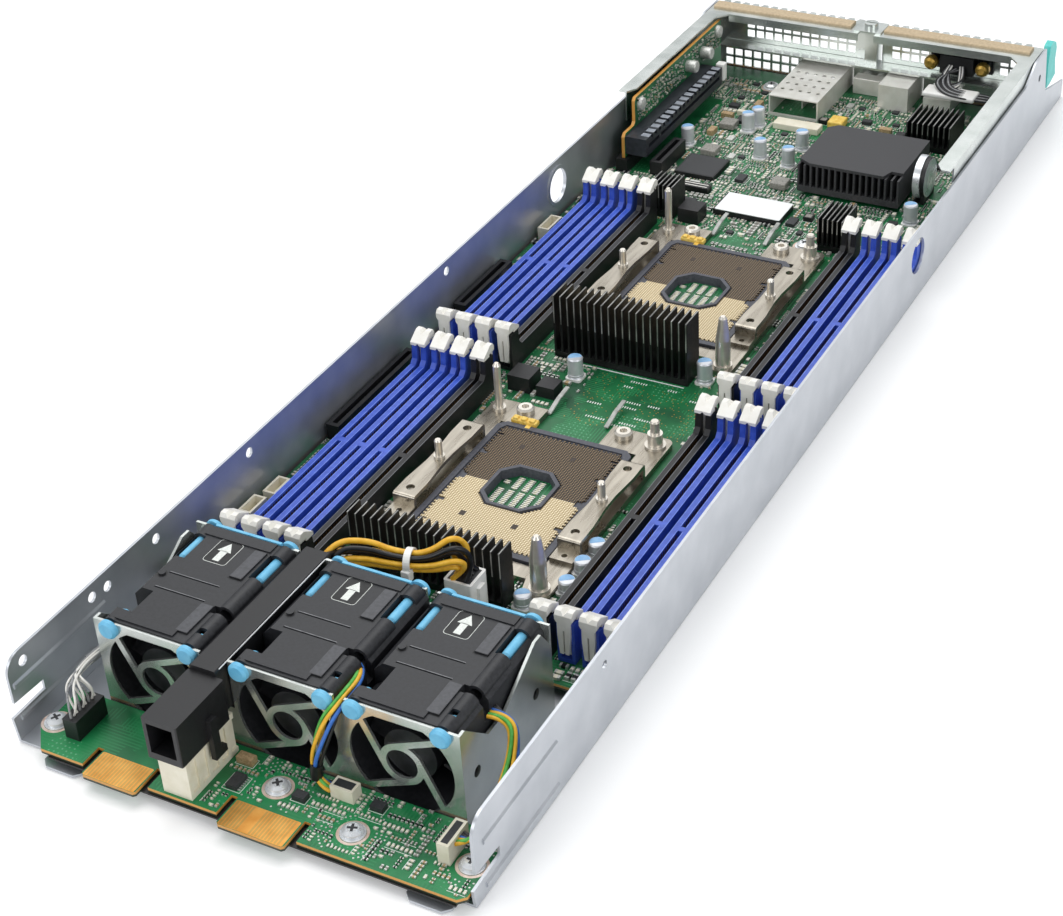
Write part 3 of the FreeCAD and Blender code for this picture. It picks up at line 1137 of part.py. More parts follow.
tray_pan()
rear_panel()
left_bracket()
right_bracket()
gaskets()
bracket_clip()
release_lever()
lever_pin()
main_board()
docking_board()
standoffs()
board_screws()
insulating_film()
fan_bracket()
fans()
fan_grommets()
fan_leads()
signal_lead()
power_cable()
power_connector()
lead_headers()
bridge_connector()
bridge_cap()
bridge_board()
cpu_sockets()
bolster_plates()
spring_bars()
guide_posts()
memory_slots()
memory_latches()
finned_heatsinks()
chipset_heatsink()
riser_card()
riser_slot()
sfp_cage()
port_shells()
serial_port()
serial_lead()
buttons()
coin_cell()
capacitors()
black_parts()
doc.recompute()

# Every object must have built before anything is written
failed = [item.Name for item in doc.Objects if "Invalid" in item.State or "Error" in item.State]
failed += [name for name, item in nodes.items() if item.Shape.isNull() or not item.Shape.isValid()]
if failed:
    raise RuntimeError("not built: " + ", ".join(failed))
for name, item in nodes.items():
    item.Shape.exportStep(f"parts/{name}.step")
print(len(nodes), "sub-parts written")
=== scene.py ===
# %% [markdown]
# # A half-width server node on a pale studio floor
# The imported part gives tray, boards, fans, sockets and latches at real size, in metres. This lesson adds a
# camera, soft light, finishes, and the small parts, wires and contacts that make a board look real.

# %% Load the part
import math
import random
from itertools import product

import bmesh
import bpy
from mathutils import Matrix, Vector, noise
from mathutils.bvhtree import BVHTree


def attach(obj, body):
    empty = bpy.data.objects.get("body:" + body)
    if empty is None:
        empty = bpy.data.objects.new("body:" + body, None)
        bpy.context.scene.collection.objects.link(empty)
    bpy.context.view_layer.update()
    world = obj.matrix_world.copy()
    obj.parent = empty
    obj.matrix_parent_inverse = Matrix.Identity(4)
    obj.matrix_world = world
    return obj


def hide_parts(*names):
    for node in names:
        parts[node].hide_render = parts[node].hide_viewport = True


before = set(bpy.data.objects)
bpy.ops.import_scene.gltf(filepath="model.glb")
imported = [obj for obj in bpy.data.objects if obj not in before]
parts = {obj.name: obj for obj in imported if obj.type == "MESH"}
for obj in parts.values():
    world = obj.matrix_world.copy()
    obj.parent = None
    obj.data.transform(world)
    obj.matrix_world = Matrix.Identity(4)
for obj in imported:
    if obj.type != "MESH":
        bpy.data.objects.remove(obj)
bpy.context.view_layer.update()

scene = bpy.context.scene
MM = 0.001
BOARD_TOP = 6.0
FAN_CENTRES = (-45.4, 5.8, 48.0)
SOCKETS = ((4.0, -107.8), (4.0, 51.9))
print("sub-parts:", len(parts))

# %% [markdown]
# ## Camera
# Lens and viewpoint were solved from the tray's edges and the memory slots. A camera's axes are right, up
# and backwards, so the solved directions go in as columns.

# %% Camera
camera_data = bpy.data.cameras.new("photo_camera")
camera_data.sensor_width = 36
camera_data.lens = 69.71
camera = bpy.data.objects.new("photo_camera", camera_data)
scene.collection.objects.link(camera)
right = Vector((0.88200, 0.46831, -0.05255))
up = Vector((-0.22792, 0.52153, 0.82223))
back = Vector((0.41246, -0.71323, 0.56673))
facing = Matrix((right, up, back)).transposed().to_4x4()
camera.matrix_world = Matrix.Translation((0.32267, -0.64873, 0.45501)) @ facing
scene.camera = camera
print("camera at", [round(value, 3) for value in camera.matrix_world.translation])

# %% [markdown]
# ## Colours and nodes
# Finishes are written as hex colours, which are turned into the linear values that the renderer works in.

# %% Colour and node helpers
def srgb(code):
    """Linear colour of a hex code such as 'c8ccd0'."""
    channels = []
    for start in (0, 2, 4):
        value = int(code[start:start + 2], 16) / 255
        channels.append(value / 12.92 if value <= 0.04045 else ((value + 0.055) / 1.055) ** 2.4)
    return (*channels, 1.0)


def add(tree, kind, links=None, **settings):
    """Add a node with its settings, and link or set its sockets."""
    node = tree.nodes.new(kind)
    for key, value in settings.items():
        setattr(node, key, value)
    for socket, value in (links or {}).items():
        target = node.inputs[socket]
        if isinstance(value, bpy.types.NodeSocket):
            tree.links.new(value, target)
        else:
            target.default_value = value
    return node


def calc(tree, operation, first, second=0.5):
    """The outcome of a sum or a comparison."""
    return add(tree, "ShaderNodeMath", {0: first, 1: second}, operation=operation).outputs[0]


def mixed(tree, factor, first, second):
    """A colour between two others."""
    return add(tree, "ShaderNodeMix", {0: factor, 6: first, 7: second}, data_type="RGBA").outputs[2]


def two_tone(tree, factor, first, second, low, high):
    """A ramp from one hex colour to another over a span of the factor."""
    ramp = add(tree, "ShaderNodeValToRGB", {"Fac": factor})
    for stop, position, code in zip(ramp.color_ramp.elements, (low, high), (first, second)):
        stop.position = position
        stop.color = srgb(code)
    return ramp.outputs["Color"]


def feed(tree, socket, value):
    """Link a value into the surface shader."""
    tree.links.new(value, tree.nodes["Principled BSDF"].inputs[socket])


def emboss(tree, height, depth_mm, strength):
    """Raise the surface where a value is high."""
    relief = add(tree, "ShaderNodeBump", {"Height": height, "Distance": depth_mm * MM, "Strength": strength})
    feed(tree, "Normal", relief.outputs["Normal"])


def pattern(tree, kind, place, size_mm, output, links, **settings):
    """A texture of a real size."""
    links = {"Vector": place, "Scale": 1 / (size_mm * MM), **links}
    return add(tree, "ShaderNodeTex" + kind, links, **settings).outputs[output]


def new_finish(name, sockets):
    """A material with constant values on the shader's own sockets, and its nodes."""
    material = bpy.data.materials.new(name)
    material.use_nodes = True
    tree = material.node_tree
    for socket, value in sockets.items():
        tree.nodes["Principled BSDF"].inputs[socket].default_value = value
    return material, tree


def mottled(name, dark, pale, metallic, rough, grain_mm, bump_mm=0.0, stretch=(1, 1, 1)):
    """A finish whose colour, roughness and height follow one noise of a real size."""
    material, tree = new_finish(name, {"Metallic": metallic})
    place = add(tree, "ShaderNodeTexCoord").outputs["Object"]
    mapped = add(tree, "ShaderNodeMapping", {"Vector": place, "Scale": stretch}).outputs["Vector"]
    grain = pattern(tree, "Noise", mapped, grain_mm, "Fac", {"Detail": 4.0})
    feed(tree, "Base Color", two_tone(tree, grain, dark, pale, 0.3, 0.7))
    spread = add(tree, "ShaderNodeMapRange", {"Value": grain, "From Min": 0.3, "From Max": 0.7,
                                              "To Min": rough[0], "To Max": rough[1]})
    feed(tree, "Roughness", spread.outputs["Result"])
    if bump_mm:
        emboss(tree, grain, bump_mm, 0.5)
    return material


def add_looks(table):
    """Make every finish of a table."""
    for name, values in table.items():
        looks[name] = mottled(name.replace("_", " "), *values)


looks = {}

# %% [markdown]
# ## Floor and light
# A pale floor keeps a soft contact shadow and glows a little where it is seen. One softbox hangs over the
# tray, one behind it lays a sheen on flat tops, and two dimmer ones fill.

# %% Floor
FLOOR_GLOW = 0.16
floor_bm = bmesh.new()
bmesh.ops.create_grid(floor_bm, x_segments=1, y_segments=1, size=6)
floor_mesh = bpy.data.meshes.new("studio_floor")
floor_bm.to_mesh(floor_mesh)
floor_bm.free()
floor = bpy.data.objects.new("studio_floor", floor_mesh)
scene.collection.objects.link(floor)
# Matte white paper that stays white where it is seen.
PAPER = {"Base Color": srgb("f6f6f6"), "Roughness": 0.9, "Emission Color": (1, 1, 1, 1)}
paper, tree = new_finish("matte white paper", PAPER)
rays = add(tree, "ShaderNodeLightPath").outputs
mirrored = calc(tree, "ADD", rays["Is Camera Ray"], rays["Is Glossy Ray"])
seen = calc(tree, "ADD", mirrored, rays["Is Transmission Ray"])
feed(tree, "Emission Strength", calc(tree, "MULTIPLY", seen, FLOOR_GLOW))
floor_mesh.materials.append(paper)
floor.location.z = -0.0004


# %% Lamps and world
def softbox(name, place, target, size, power):
    """A rectangular lamp that faces a target."""
    light = bpy.data.lights.new(name, "AREA")
    light.shape = "RECTANGLE"
    light.size, light.size_y = size
    light.energy = power
    lamp = bpy.data.objects.new(name, light)
    lamp.location = place
    lamp.rotation_euler = (Vector(target) - Vector(place)).to_track_quat("-Z", "Y").to_euler()
    scene.collection.objects.link(lamp)


softbox("overhead_softbox", (-0.35, 0.25, 1.5), (0, 0, 0), (1.6, 1.2), 15)
softbox("back_softbox", (-0.75, 1.3, 1.05), (0, 0, 0), (1.5, 0.7), 3.5)
softbox("right_softbox", (1.3, -0.6, 0.7), (0, 0, 0), (0.9, 0.9), 6)
softbox("front_softbox", (-0.7, -1.4, 0.8), (0, -0.1, 0), (1.0, 0.7), 6)
world = bpy.data.worlds.new("studio_world")
scene.world = world
world.use_nodes = True
sky = world.node_tree.nodes["Background"].inputs
sky["Color"].default_value = srgb("eef1f4")
sky["Strength"].default_value = 0.55
scene.view_settings.view_transform = "Standard"

# %% [markdown]
# ## Metal finishes
# The tray is zinc coated sheet, the brackets a brighter plated sheet, the bolsters brushed stainless, the
# sinks black anodised aluminium. Grain finer than a pixel is drawn a few millimetres long.

# %% Metal finishes
# Each row: dark and pale colour, metal share, roughness, grain in mm, then relief in mm and stretch
METALS = {
    # Pale neutral grey with a soft cloudy sheen.
    "galvanised": ("b9bdc3", "c9ccd1", 0.75, (0.3, 0.4), 14, 0.005),
    # Paler, with a smoother shine that mirrors the green board.
    "plated": ("c4cac6", "dce0dd", 0.85, (0.2, 0.28), 14, 0.005),
    # Paler and warmer than the brackets.
    "tinned": ("dcd9d1", "edebe5", 0.3, (0.28, 0.36), 6),
    # Warm grey with fine lines along the part.
    "stainless": ("958e82", "bdb6a9", 0.9, (0.24, 0.34), 2.5, 0.01, (1, 0.12, 1)),
    # Clean and bright, as on a screw head.
    "bright_steel": ("dfe2e6", "eef0f2", 0.5, (0.24, 0.3), 8),
    # Faintly brown, with a clear streak of light along the pin.
    "turned_steel": ("d3ccc0", "e9e4db", 0.6, (0.2, 0.26), 6, 0, (0.3, 0.3, 1)),
    # Nearly black with a soft sheen.
    "anodised_black": ("0f0f10", "1f1f21", 0.35, (0.36, 0.5), 1.5, 0.02),
    # Painted highlight: a dull silver line where the edge of a black fin catches the light.
    "fin_edge_glint": ("6c6c69", "bdbdb9", 0.6, (0.3, 0.42), 6),
    # An even dark grey that stays matte.
    "painted_grey": ("333335", "404043", 0.0, (0.5, 0.62), 1.0, 0.02),
    # Orange gold with a satin shine.
    "gold": ("d8923f", "ecb05c", 0.75, (0.32, 0.4), 6),
    # Duller and greener, as on contacts that have been plugged.
    "worn_gold": ("b98d47", "d0a75e", 0.7, (0.34, 0.44), 6),
    # Brown gold, shaded by its groove.
    "shaded_gilt": ("5c4526", "7a5c33", 0.5, (0.36, 0.44), 4),
    # Pale lilac grey with a smooth side.
    "can_metal": ("cfd2d8", "e6e8ec", 0.45, (0.3, 0.4), 5),
    # Small pale glints.
    "tin": ("b9b9b4", "e4e4df", 0.6, (0.35, 0.5), 0.8),
    # Pinkish copper under thin tin.
    "copper_pad": ("d3b5a4", "e6d6cb", 0.5, (0.35, 0.45), 3),
    # Yellow with bright edges.
    "brass": ("a9853a", "d4b25f", 0.85, (0.25, 0.38), 2),
}
add_looks(METALS)
print("metal finishes:", len(METALS))

# %% [markdown]
# ## Plastic, rubber and cloth finishes
# Moulded plastic has a fine spark-eroded grain, drawn a little coarser than it is.

# %% Plastic finishes
PLASTICS = {
    # Black, with a soft grey shine on the upper faces.
    "black_moulded": ("0f0f11", "1d1d20", 0.0, (0.38, 0.52), 0.9, 0.03),
    # A shade greyer, with a sandy grain.
    "fan_plastic": ("1c1d20", "2e2f33", 0.0, (0.42, 0.54), 1.2, 0.03),
    # Polished, paler ledges of the fans.
    "pale_ledge": ("3c3d41", "4e4f54", 0.0, (0.34, 0.44), 1.2, 0.02),
    # Painted highlight: a pale line along a seam's edge.
    "seam_highlight": ("6f7074", "a0a1a4", 0.0, (0.4, 0.5), 2),
    # Even royal blue.
    "slot_blue": ("2f4db4", "4463cf", 0.0, (0.32, 0.42), 3, 0.01),
    # Paler, where the rounded edge catches the light.
    "blue_rim": ("6482e4", "8aa4f3", 0.0, (0.3, 0.4), 3),
    # The same painted highlight on the rims of the black slots.
    "black_rim": ("55575b", "7b7d82", 0.0, (0.3, 0.4), 3),
    # Warm white.
    "latch_white": ("ebe8df", "f6f4ee", 0.0, (0.4, 0.48), 4, 0.01),
    # Latch nylon, shaded by its groove.
    "latch_shade": ("8f8c84", "a5a29a", 0.0, (0.5, 0.6), 4),
    # Clean white with a slight shine.
    "white_moulded": ("ecebe6", "f6f5f2", 0.0, (0.38, 0.46), 4, 0.01),
    # Aged ivory.
    "cream_moulded": ("e3dcc5", "eee8d6", 0.0, (0.4, 0.48), 4, 0.01),
    # An even cold white with a low shine, also used for a painted highlight.
    "white_film_print_and_glint": ("f1f3f4", "f9fafa", 0.0, (0.34, 0.42), 8),
    # Slate grey, matte.
    "slate_moulded": ("45464e", "585a63", 0.0, (0.45, 0.58), 1.2, 0.02),
    # Light blue and soft.
    "mount_rubber": ("63b4dc", "7cc7e9", 0.0, (0.42, 0.5), 4, 0.01),
    # Bright teal.
    "teal_moulded": ("4cc4bf", "6ad8d1", 0.0, (0.4, 0.48), 4, 0.01),
    # Black, with a slightly wavy shine.
    "black_film": ("060607", "101012", 0.0, (0.4, 0.6), 4),
    # Tan weave with a dull metal glint.
    "gasket_cloth": ("b39e80", "cdb998", 0.1, (0.5, 0.65), 1.2, 0.04),
    # Dark grey with fine filler grain, also used as painted shade in screw recesses and connector wells.
    "grey_resin_and_shade": ("27282a", "37383b", 0.0, (0.45, 0.6), 1.0, 0.02),
    # Tan and grey bodies between tinned ends.
    "ceramic_tan": ("9a7f5b", "c9ae86", 0.0, (0.4, 0.55), 0.7),
    "ceramic_grey": ("77756f", "a5a29a", 0.0, (0.4, 0.55), 0.7),
    # Flat white lines, a little broken.
    "white_ink": ("d5dad3", "f2f4f0", 0.0, (0.55, 0.7), 0.6),
    # Cloudy grey white.
    "cloudy_strap": ("8f908c", "c2c3be", 0.0, (0.36, 0.46), 3),
    # Bright and waxy.
    "yellow_moulded": ("e0b13c", "f6d774", 0.0, (0.42, 0.54), 1.5, 0.02),
    # Marker blue on capacitor tops.
    "can_print": ("78abd9", "98c4ea", 0.1, (0.36, 0.46), 3),
    # Grey moulded insert in the riser slot.
    "grey_insert": ("858a94", "a3a8b1", 0.0, (0.36, 0.44), 3),
    # Black with a blue cast.
    "blue_black": ("22252b", "33363d", 0.0, (0.36, 0.46), 2, 0.02),
}
add_looks(PLASTICS)
print("plastic finishes:", len(PLASTICS))

# %% [markdown]
# ## Circuit boards
# A solder mask is green varnish over copper. Copper lines show through as paler green, in bundles, with
# patches of dots that stitch the layers. The cut edge shows a golden fibre core above its dark underside.
# Real lines are about 0.3 mm apart, finer than a pixel, so they are drawn 1.3 mm apart. A wave texture of
# scale 1 repeats every 0.314 units.

# %% Circuit board finish
CORE_LEVEL = 4.9
PATCH_MM = 18
BUNDLE_MM = 14
TRACE_MM = 1.3
VIA_MM = 1.9
WAVE = 0.314


def circuit_board(name, dark, pale, face_axis):
    """Solder mask with lines and dots on its faces, and a fibre core at its edges."""
    material, tree = new_finish(name, {"Roughness": 0.38})
    coordinates = add(tree, "ShaderNodeTexCoord").outputs
    place = coordinates["Object"]
    patches = pattern(tree, "Noise", place, PATCH_MM, "Fac", {"Detail": 3.0})
    mask = two_tone(tree, patches, dark, pale, 0.38, 0.62)
    lines = 0.0
    for direction, seed in (("X", 3.0), ("Y", 8.0)):
        waves = pattern(tree, "Wave", place, TRACE_MM / WAVE, "Fac", {}, bands_direction=direction)
        where = pattern(tree, "Noise", place, BUNDLE_MM, "Fac", {"W": seed}, noise_dimensions="4D")
        inside = calc(tree, "GREATER_THAN", where, 0.54)
        bundle = calc(tree, "MULTIPLY", inside, calc(tree, "GREATER_THAN", waves, 0.72))
        lines = calc(tree, "MAXIMUM", lines, bundle)
    vias = pattern(tree, "Voronoi", place, VIA_MM, "Distance", {"Randomness": 0.25}, voronoi_dimensions="2D")
    rings = calc(tree, "LESS_THAN", vias, 0.17)
    dots = calc(tree, "MULTIPLY", rings, calc(tree, "GREATER_THAN", patches, 0.6))
    face = mixed(tree, dots, mixed(tree, lines, mask, srgb("25824d")), srgb("5fa67b"))
    height = add(tree, "ShaderNodeSeparateXYZ", {0: place}).outputs["Z"]
    in_core = calc(tree, "GREATER_THAN", height, CORE_LEVEL * MM)
    edge = mixed(tree, in_core, srgb("24301f"), srgb("d49a4a"))
    normal = add(tree, "ShaderNodeSeparateXYZ", {0: coordinates["Normal"]}).outputs[face_axis]
    is_face = calc(tree, "GREATER_THAN", calc(tree, "ABSOLUTE", normal), 0.5)
    feed(tree, "Base Color", mixed(tree, is_face, edge, face))
    emboss(tree, lines, 0.05, 0.4)
    return material


# Deep green with paler lines and dots; the docking board is brighter.
looks["green_board"] = circuit_board("green solder mask on flat boards", "0b4d2c", "16713f", "Z")
looks["dock_board"] = circuit_board("brighter green solder mask", "0d6639", "1a8a4e", "Z")
looks["green_card"] = circuit_board("green solder mask on the upright card", "0b4d2c", "16713f", "X")

# %% [markdown]
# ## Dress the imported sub-parts
# Most sub-parts already have the right shape, so they only need their finish.

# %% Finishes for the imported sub-parts
DRESS = {
    "galvanised": ["tray_pan"],
    "plated": ["rear_panel", "riser_bracket_left", "riser_bracket_right", "bracket_clip", "fan_bracket"],
    "tinned": ["sfp_cage", "port_shells"],
    "stainless": ["bolster_plates", "spring_bars"],
    "bright_steel": ["board_screws", "standoffs", "latch_pivot", "coin_cell"],
    "turned_steel": ["guide_posts"],
    "anodised_black": ["finned_heatsinks"],
    "painted_grey": ["chipset_heatsink"],
    "can_metal": ["capacitors"],
    "green_board": ["main_board"],
    "dock_board": ["docking_board"],
    "green_card": ["riser_card"],
    "fan_plastic": [name for name in parts if name.startswith(("fan_housing", "fan_rotor"))],
    "black_moulded": ["bridge_cap", "bridge_board", "memory_slots_black", "serial_port",
                      "board_parts_black"],
    "blue_black": ["riser_slot"],
    "slate_moulded": ["cpu_sockets"],
    "slot_blue": ["memory_slots_left", "memory_slots_right"],
    "latch_white": [name for name in parts if name.startswith("memory_latches")],
    "white_moulded": ["power_connector", "power_button", "id_button"],
    "cream_moulded": ["lead_headers", "bridge_connector"],
    "mount_rubber": ["fan_grommets"],
    "teal_moulded": ["release_latch"],
    "black_film": ["insulating_film"],
    "gasket_cloth": ["emi_gaskets"],
}
for look, names in DRESS.items():
    for name in names:
        mesh = parts[name].data
        mesh.materials.clear()
        mesh.materials.append(looks[look])
print("dressed:", sum(len(names) for names in DRESS.values()))

# %% [markdown]
# ## Building pieces
# Every piece starts as a bmesh, gets its finishes as numbered slots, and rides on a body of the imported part.
# A shape that comes many times is modelled once as a master mesh and stamped.

# %% Piece helpers
def to_mesh(name, bm):
    """Keep a bmesh as a mesh, with its faces outwards."""
    bmesh.ops.recalc_face_normals(bm, faces=bm.faces)
    mesh = bpy.data.meshes.new(name)
    bm.to_mesh(mesh)
    bm.free()
    return mesh


def to_piece(name, bm, wanted, body="tray"):
    """Turn a bmesh in metres into an object that rides on a body."""
    mesh = to_mesh(name, bm)
    for look in wanted:
        mesh.materials.append(looks[look])
    piece = bpy.data.objects.new(name, mesh)
    scene.collection.objects.link(piece)
    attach(piece, body)
    return piece


def stamp(bm, master, place, turn=0.0, onto=Matrix.Identity(4)):
    """Add a copy of a master mesh at a place in millimetres, turned about its own upright axis."""
    copy = master.copy()
    copy.transform(Matrix.Translation(Vector(place) * MM) @ onto @ Matrix.Rotation(turn, 4, "Z"))
    bm.from_mesh(copy)
    bpy.data.meshes.remove(copy)


def paint(made, slot):
    """Give the faces of fresh vertices a finish slot."""
    for face in {face for vertex in made for face in vertex.link_faces}:
        face.material_index = slot
    return made


# %% Basic shapes
LAYER = 0.04


def brick(bm, centre, size, slot=0):
    """A box given by its centre and size in millimetres."""
    scale = Matrix.Diagonal((*[edge * MM for edge in size], 1))
    matrix = Matrix.Translation(Vector(centre) * MM) @ scale
    return paint(bmesh.ops.create_cube(bm, size=1, matrix=matrix)["verts"], slot)


def bricks(name, boxes):
    """A master mesh of several boxes, each given as centre, size and slot."""
    bm = bmesh.new()
    for box in boxes:
        brick(bm, *box)
    return to_mesh(name, bm)


def layer(bm, x, y, level, width, length, slot=0):
    """A thin flat layer, such as ink, that lies on a level."""
    brick(bm, (x, y, level + LAYER / 2), (width, length, LAYER), slot)


def rounded_brick(bm, centre, size, radius, slot=0, all_edges=False):
    """A brick with its upright edges rounded, or all of them."""
    fresh = brick(bm, centre, size, slot)
    edges = {edge for vertex in fresh for edge in vertex.link_edges}
    if not all_edges:
        tall = 0.5 * size[2] * MM
        edges = {edge for edge in edges if abs(edge.verts[0].co.z - edge.verts[1].co.z) > tall}
    bmesh.ops.bevel(bm, geom=list(edges), offset=radius * MM, affect="EDGES", segments=3, profile=0.5,
                    material=-1)


def round_bar(bm, centre, radius, length, sides=16, slot=0):
    """An upright bar given by its centre in millimetres."""
    made = bmesh.ops.create_cone(bm, cap_ends=True, segments=sides, radius1=radius * MM, radius2=radius * MM,
                                 depth=length * MM, matrix=Matrix.Translation(Vector(centre) * MM))
    paint(made["verts"], slot)


def turned(profile, steps=24, slot=0):
    """A mesh spun about the upright axis from an outline of (radius, height) points."""
    bm = bmesh.new()
    corners = [bm.verts.new((radius * MM, 0, height * MM)) for radius, height in profile]
    edges = [bm.edges.new(pair) for pair in zip(corners, corners[1:])]
    if profile[0][0] > 0:
        edges.append(bm.edges.new((corners[-1], corners[0])))
    bmesh.ops.spin(bm, geom=corners + edges, cent=(0, 0, 0), axis=(0, 0, 1), angle=math.tau, steps=steps,
                   use_merge=True)
    bmesh.ops.remove_doubles(bm, verts=bm.verts, dist=0.001 * MM)
    paint(bm.verts, slot)
    return to_mesh("turned_part", bm)


def on_ring(radius, index, count):
    """One of several places that share a circle evenly."""
    angle = math.tau * index / count
    return radius * math.cos(angle), radius * math.sin(angle)


# %% [markdown]
# ## Contact fields
# Each socket holds two halves of a contact field. Its springs, 1 mm apart, lean opposite ways, so the far
# half is drawn brown in painted shade and the near half tan in painted light. A grid with edge cells knocked
# out gives the stepped edge.

# %% Contact field finish
CONTACT_MM = 1.0


def contact_springs(name, gap, spring):
    """A field of small springs with gaps between them."""
    material, tree = new_finish(name, {"Roughness": 0.5, "Metallic": 0.2})
    place = add(tree, "ShaderNodeTexCoord").outputs["Object"]
    cells = pattern(tree, "Voronoi", place, CONTACT_MM, "Distance", {"Randomness": 0.0},
                    voronoi_dimensions="2D")
    feed(tree, "Base Color", two_tone(tree, cells, spring, gap, 0.26, 0.38))
    emboss(tree, cells, 0.25, 0.6)
    return material


# Springs seen from behind, in painted shade: brown, with dark gaps.
looks["shaded_far_springs"] = contact_springs("contact springs leaning away in painted shade", "1c1712", "8e7759")
# Springs seen from the front, in painted light: pale tan gold.
looks["near_springs"] = contact_springs("contact springs leaning near in painted light", "b09a70", "f8eaca")
# Moulded marks between the contacts.
looks["dark_mark"] = mottled("dark pick-up mark", "352c25", "473c33", 0.0, (0.55, 0.65), 0.8)

# %% Contact fields
ACROSS = 53
DEEP = 36
GRID = 0.98
FIELD_LEVEL = BOARD_TOP + 2.95
FIELD_THICK = 0.5


def is_cut(x, y):
    """Whether a cell of the grid lies in the window or in a step of the edge."""
    column = round((x + ACROSS * GRID / 2) / GRID - 0.5)
    row = round(abs(y) / GRID - 0.5)
    edge = min(column, ACROSS - 1 - column)
    in_window = abs(x) < 13.6 and abs(y) < 14 and abs(x) + abs(y) < 21.5
    stepped = edge == 0 and row % 2 == 0 or edge < 3 and row in (0, 1, 16, 17, 30)
    far_edge = row == DEEP - 1 and column % 2 == 0
    return in_window or stepped or far_edge


def contact_half(name, socket, near):
    """Half a contact field as a thin slab with two marks."""
    bm = bmesh.new()
    middle = Vector((socket[0], socket[1] + (-1 if near else 1) * DEEP * GRID / 2, FIELD_LEVEL)) * MM
    spread = Matrix.Diagonal((ACROSS * GRID / 2 * MM, DEEP * GRID / 2 * MM, 1, 1))
    bmesh.ops.create_grid(bm, x_segments=ACROSS, y_segments=DEEP, size=1,
                          matrix=Matrix.Translation(middle) @ spread)
    gone = []
    for face in bm.faces:
        centre = face.calc_center_median() / MM
        if is_cut(centre.x - socket[0], centre.y - socket[1]):
            gone.append(face)
    bmesh.ops.delete(bm, geom=gone, context="FACES")
    raised = bmesh.ops.extrude_face_region(bm, geom=bm.faces[:])
    lifted = [item for item in raised["geom"] if isinstance(item, bmesh.types.BMVert)]
    bmesh.ops.translate(bm, verts=lifted, vec=(0, 0, FIELD_THICK * MM))
    mark_y = socket[1] + (-21.8 if near else 25.2)
    for x in (-12.4, 9.4):
        brick(bm, (socket[0] + x, mark_y, FIELD_LEVEL + 0.52), (2.3, 2.8, 0.08), 1)
    to_piece(name, bm, ["near_springs" if near else "shaded_far_springs", "dark_mark"])


for index, socket in enumerate(SOCKETS):
    contact_half(f"contact_field_near_{index}", socket, True)
    contact_half(f"contact_field_far_{index}", socket, False)
print("contact fields:", 2 * len(SOCKETS))

# %% [markdown]
# ## Masters of the soldered parts
# A chip resistor is a ceramic body between tinned ends; a leaded chip is a resin block with rows of legs.
# Each stands on z = 0 at the origin, with slots into one list of finishes.

# %% Kinds of soldered part
SOLDER_FINISHES = ["grey_resin_and_shade", "ceramic_tan", "ceramic_grey", "tin", "black_moulded", "white_ink",
                   "cream_moulded"]
RESIN, TAN, GREY, TIN, BLACK, INK, CREAM = range(len(SOLDER_FINISHES))
LEG_REACH = 1.8


def two_ended(size, slot):
    """A chip resistor or capacitor: a body between tinned ends."""
    length, width, height = size
    end = (length * 0.26, width, height * 1.06)
    ends = [((side * length * 0.37, 0, height * 0.53), end, TIN) for side in (-1, 1)]
    return bricks("two_ended", [((0, 0, height / 2), (length * 0.48, width, height), slot), *ends])


def leaded_chip(size, legs):
    """A resin chip with a row of legs along two sides."""
    length, width, height = size
    pitch = length * 0.92 / legs
    leg = (pitch * 0.5, width + LEG_REACH, 0.36)
    rank = [((pitch * (index + 0.5 - legs / 2), 0, 0.2), leg, TIN) for index in range(legs)]
    return bricks("leaded_chip", [((0, 0, height / 2 + 0.1), size, RESIN), *rank])


def capped_block(size, body, cap):
    """A squat block such as a coil or a crystal, with a plate on top."""
    length, width, height = size
    plate = ((0, 0, height + LAYER / 2), (length * 0.7, width * 0.7, LAYER), cap)
    return bricks("capped_block", [((0, 0, height / 2), size, body), plate])


SMALL_SIZES = ((1.2, 0.6, 0.5), (1.6, 0.85, 0.6), (2.0, 1.25, 0.8), (3.2, 1.7, 1.1))
SMALL_BODIES = (TAN, CREAM, GREY, BLACK, CREAM)
small_parts = [(size, two_ended(size, slot)) for size, slot in product(SMALL_SIZES, SMALL_BODIES)]
smallest = small_parts[:10]
CHIP_SIZES = ((5, 4, 1.5, 4), (6.5, 4.2, 1.6, 6), (3.2, 2.4, 1.1, 3), (8.5, 6, 1.7, 8))
chips = [((length, width + LEG_REACH), leaded_chip((length, width, height), legs))
         for length, width, height, legs in CHIP_SIZES]
BLOCKS = (((3, 3, 0.9), RESIN, RESIN), ((5, 3.2, 1.1), TIN, TIN), ((4.6, 3.4, 1.9), RESIN, RESIN),
          ((4.2, 4.2, 2), BLACK, GREY), ((7, 2.6, 2.4), CREAM, CREAM), ((6, 3.2, 2.6), TAN, TAN))
blocks = [(size, capped_block(size, body, cap)) for size, body, cap in BLOCKS]
print("masters:", len(small_parts) + len(chips) + len(blocks))

# %% [markdown]
# ## Where the board is bare
# Rays from above find every half-millimetre cell in which the board's own top is met first, and each part
# that is placed takes its cells out of that set. Some boxes and the screw rings stay empty.

# %% Bare cells
CELL = 0.5
DOWN = Vector((0, 0, -1))
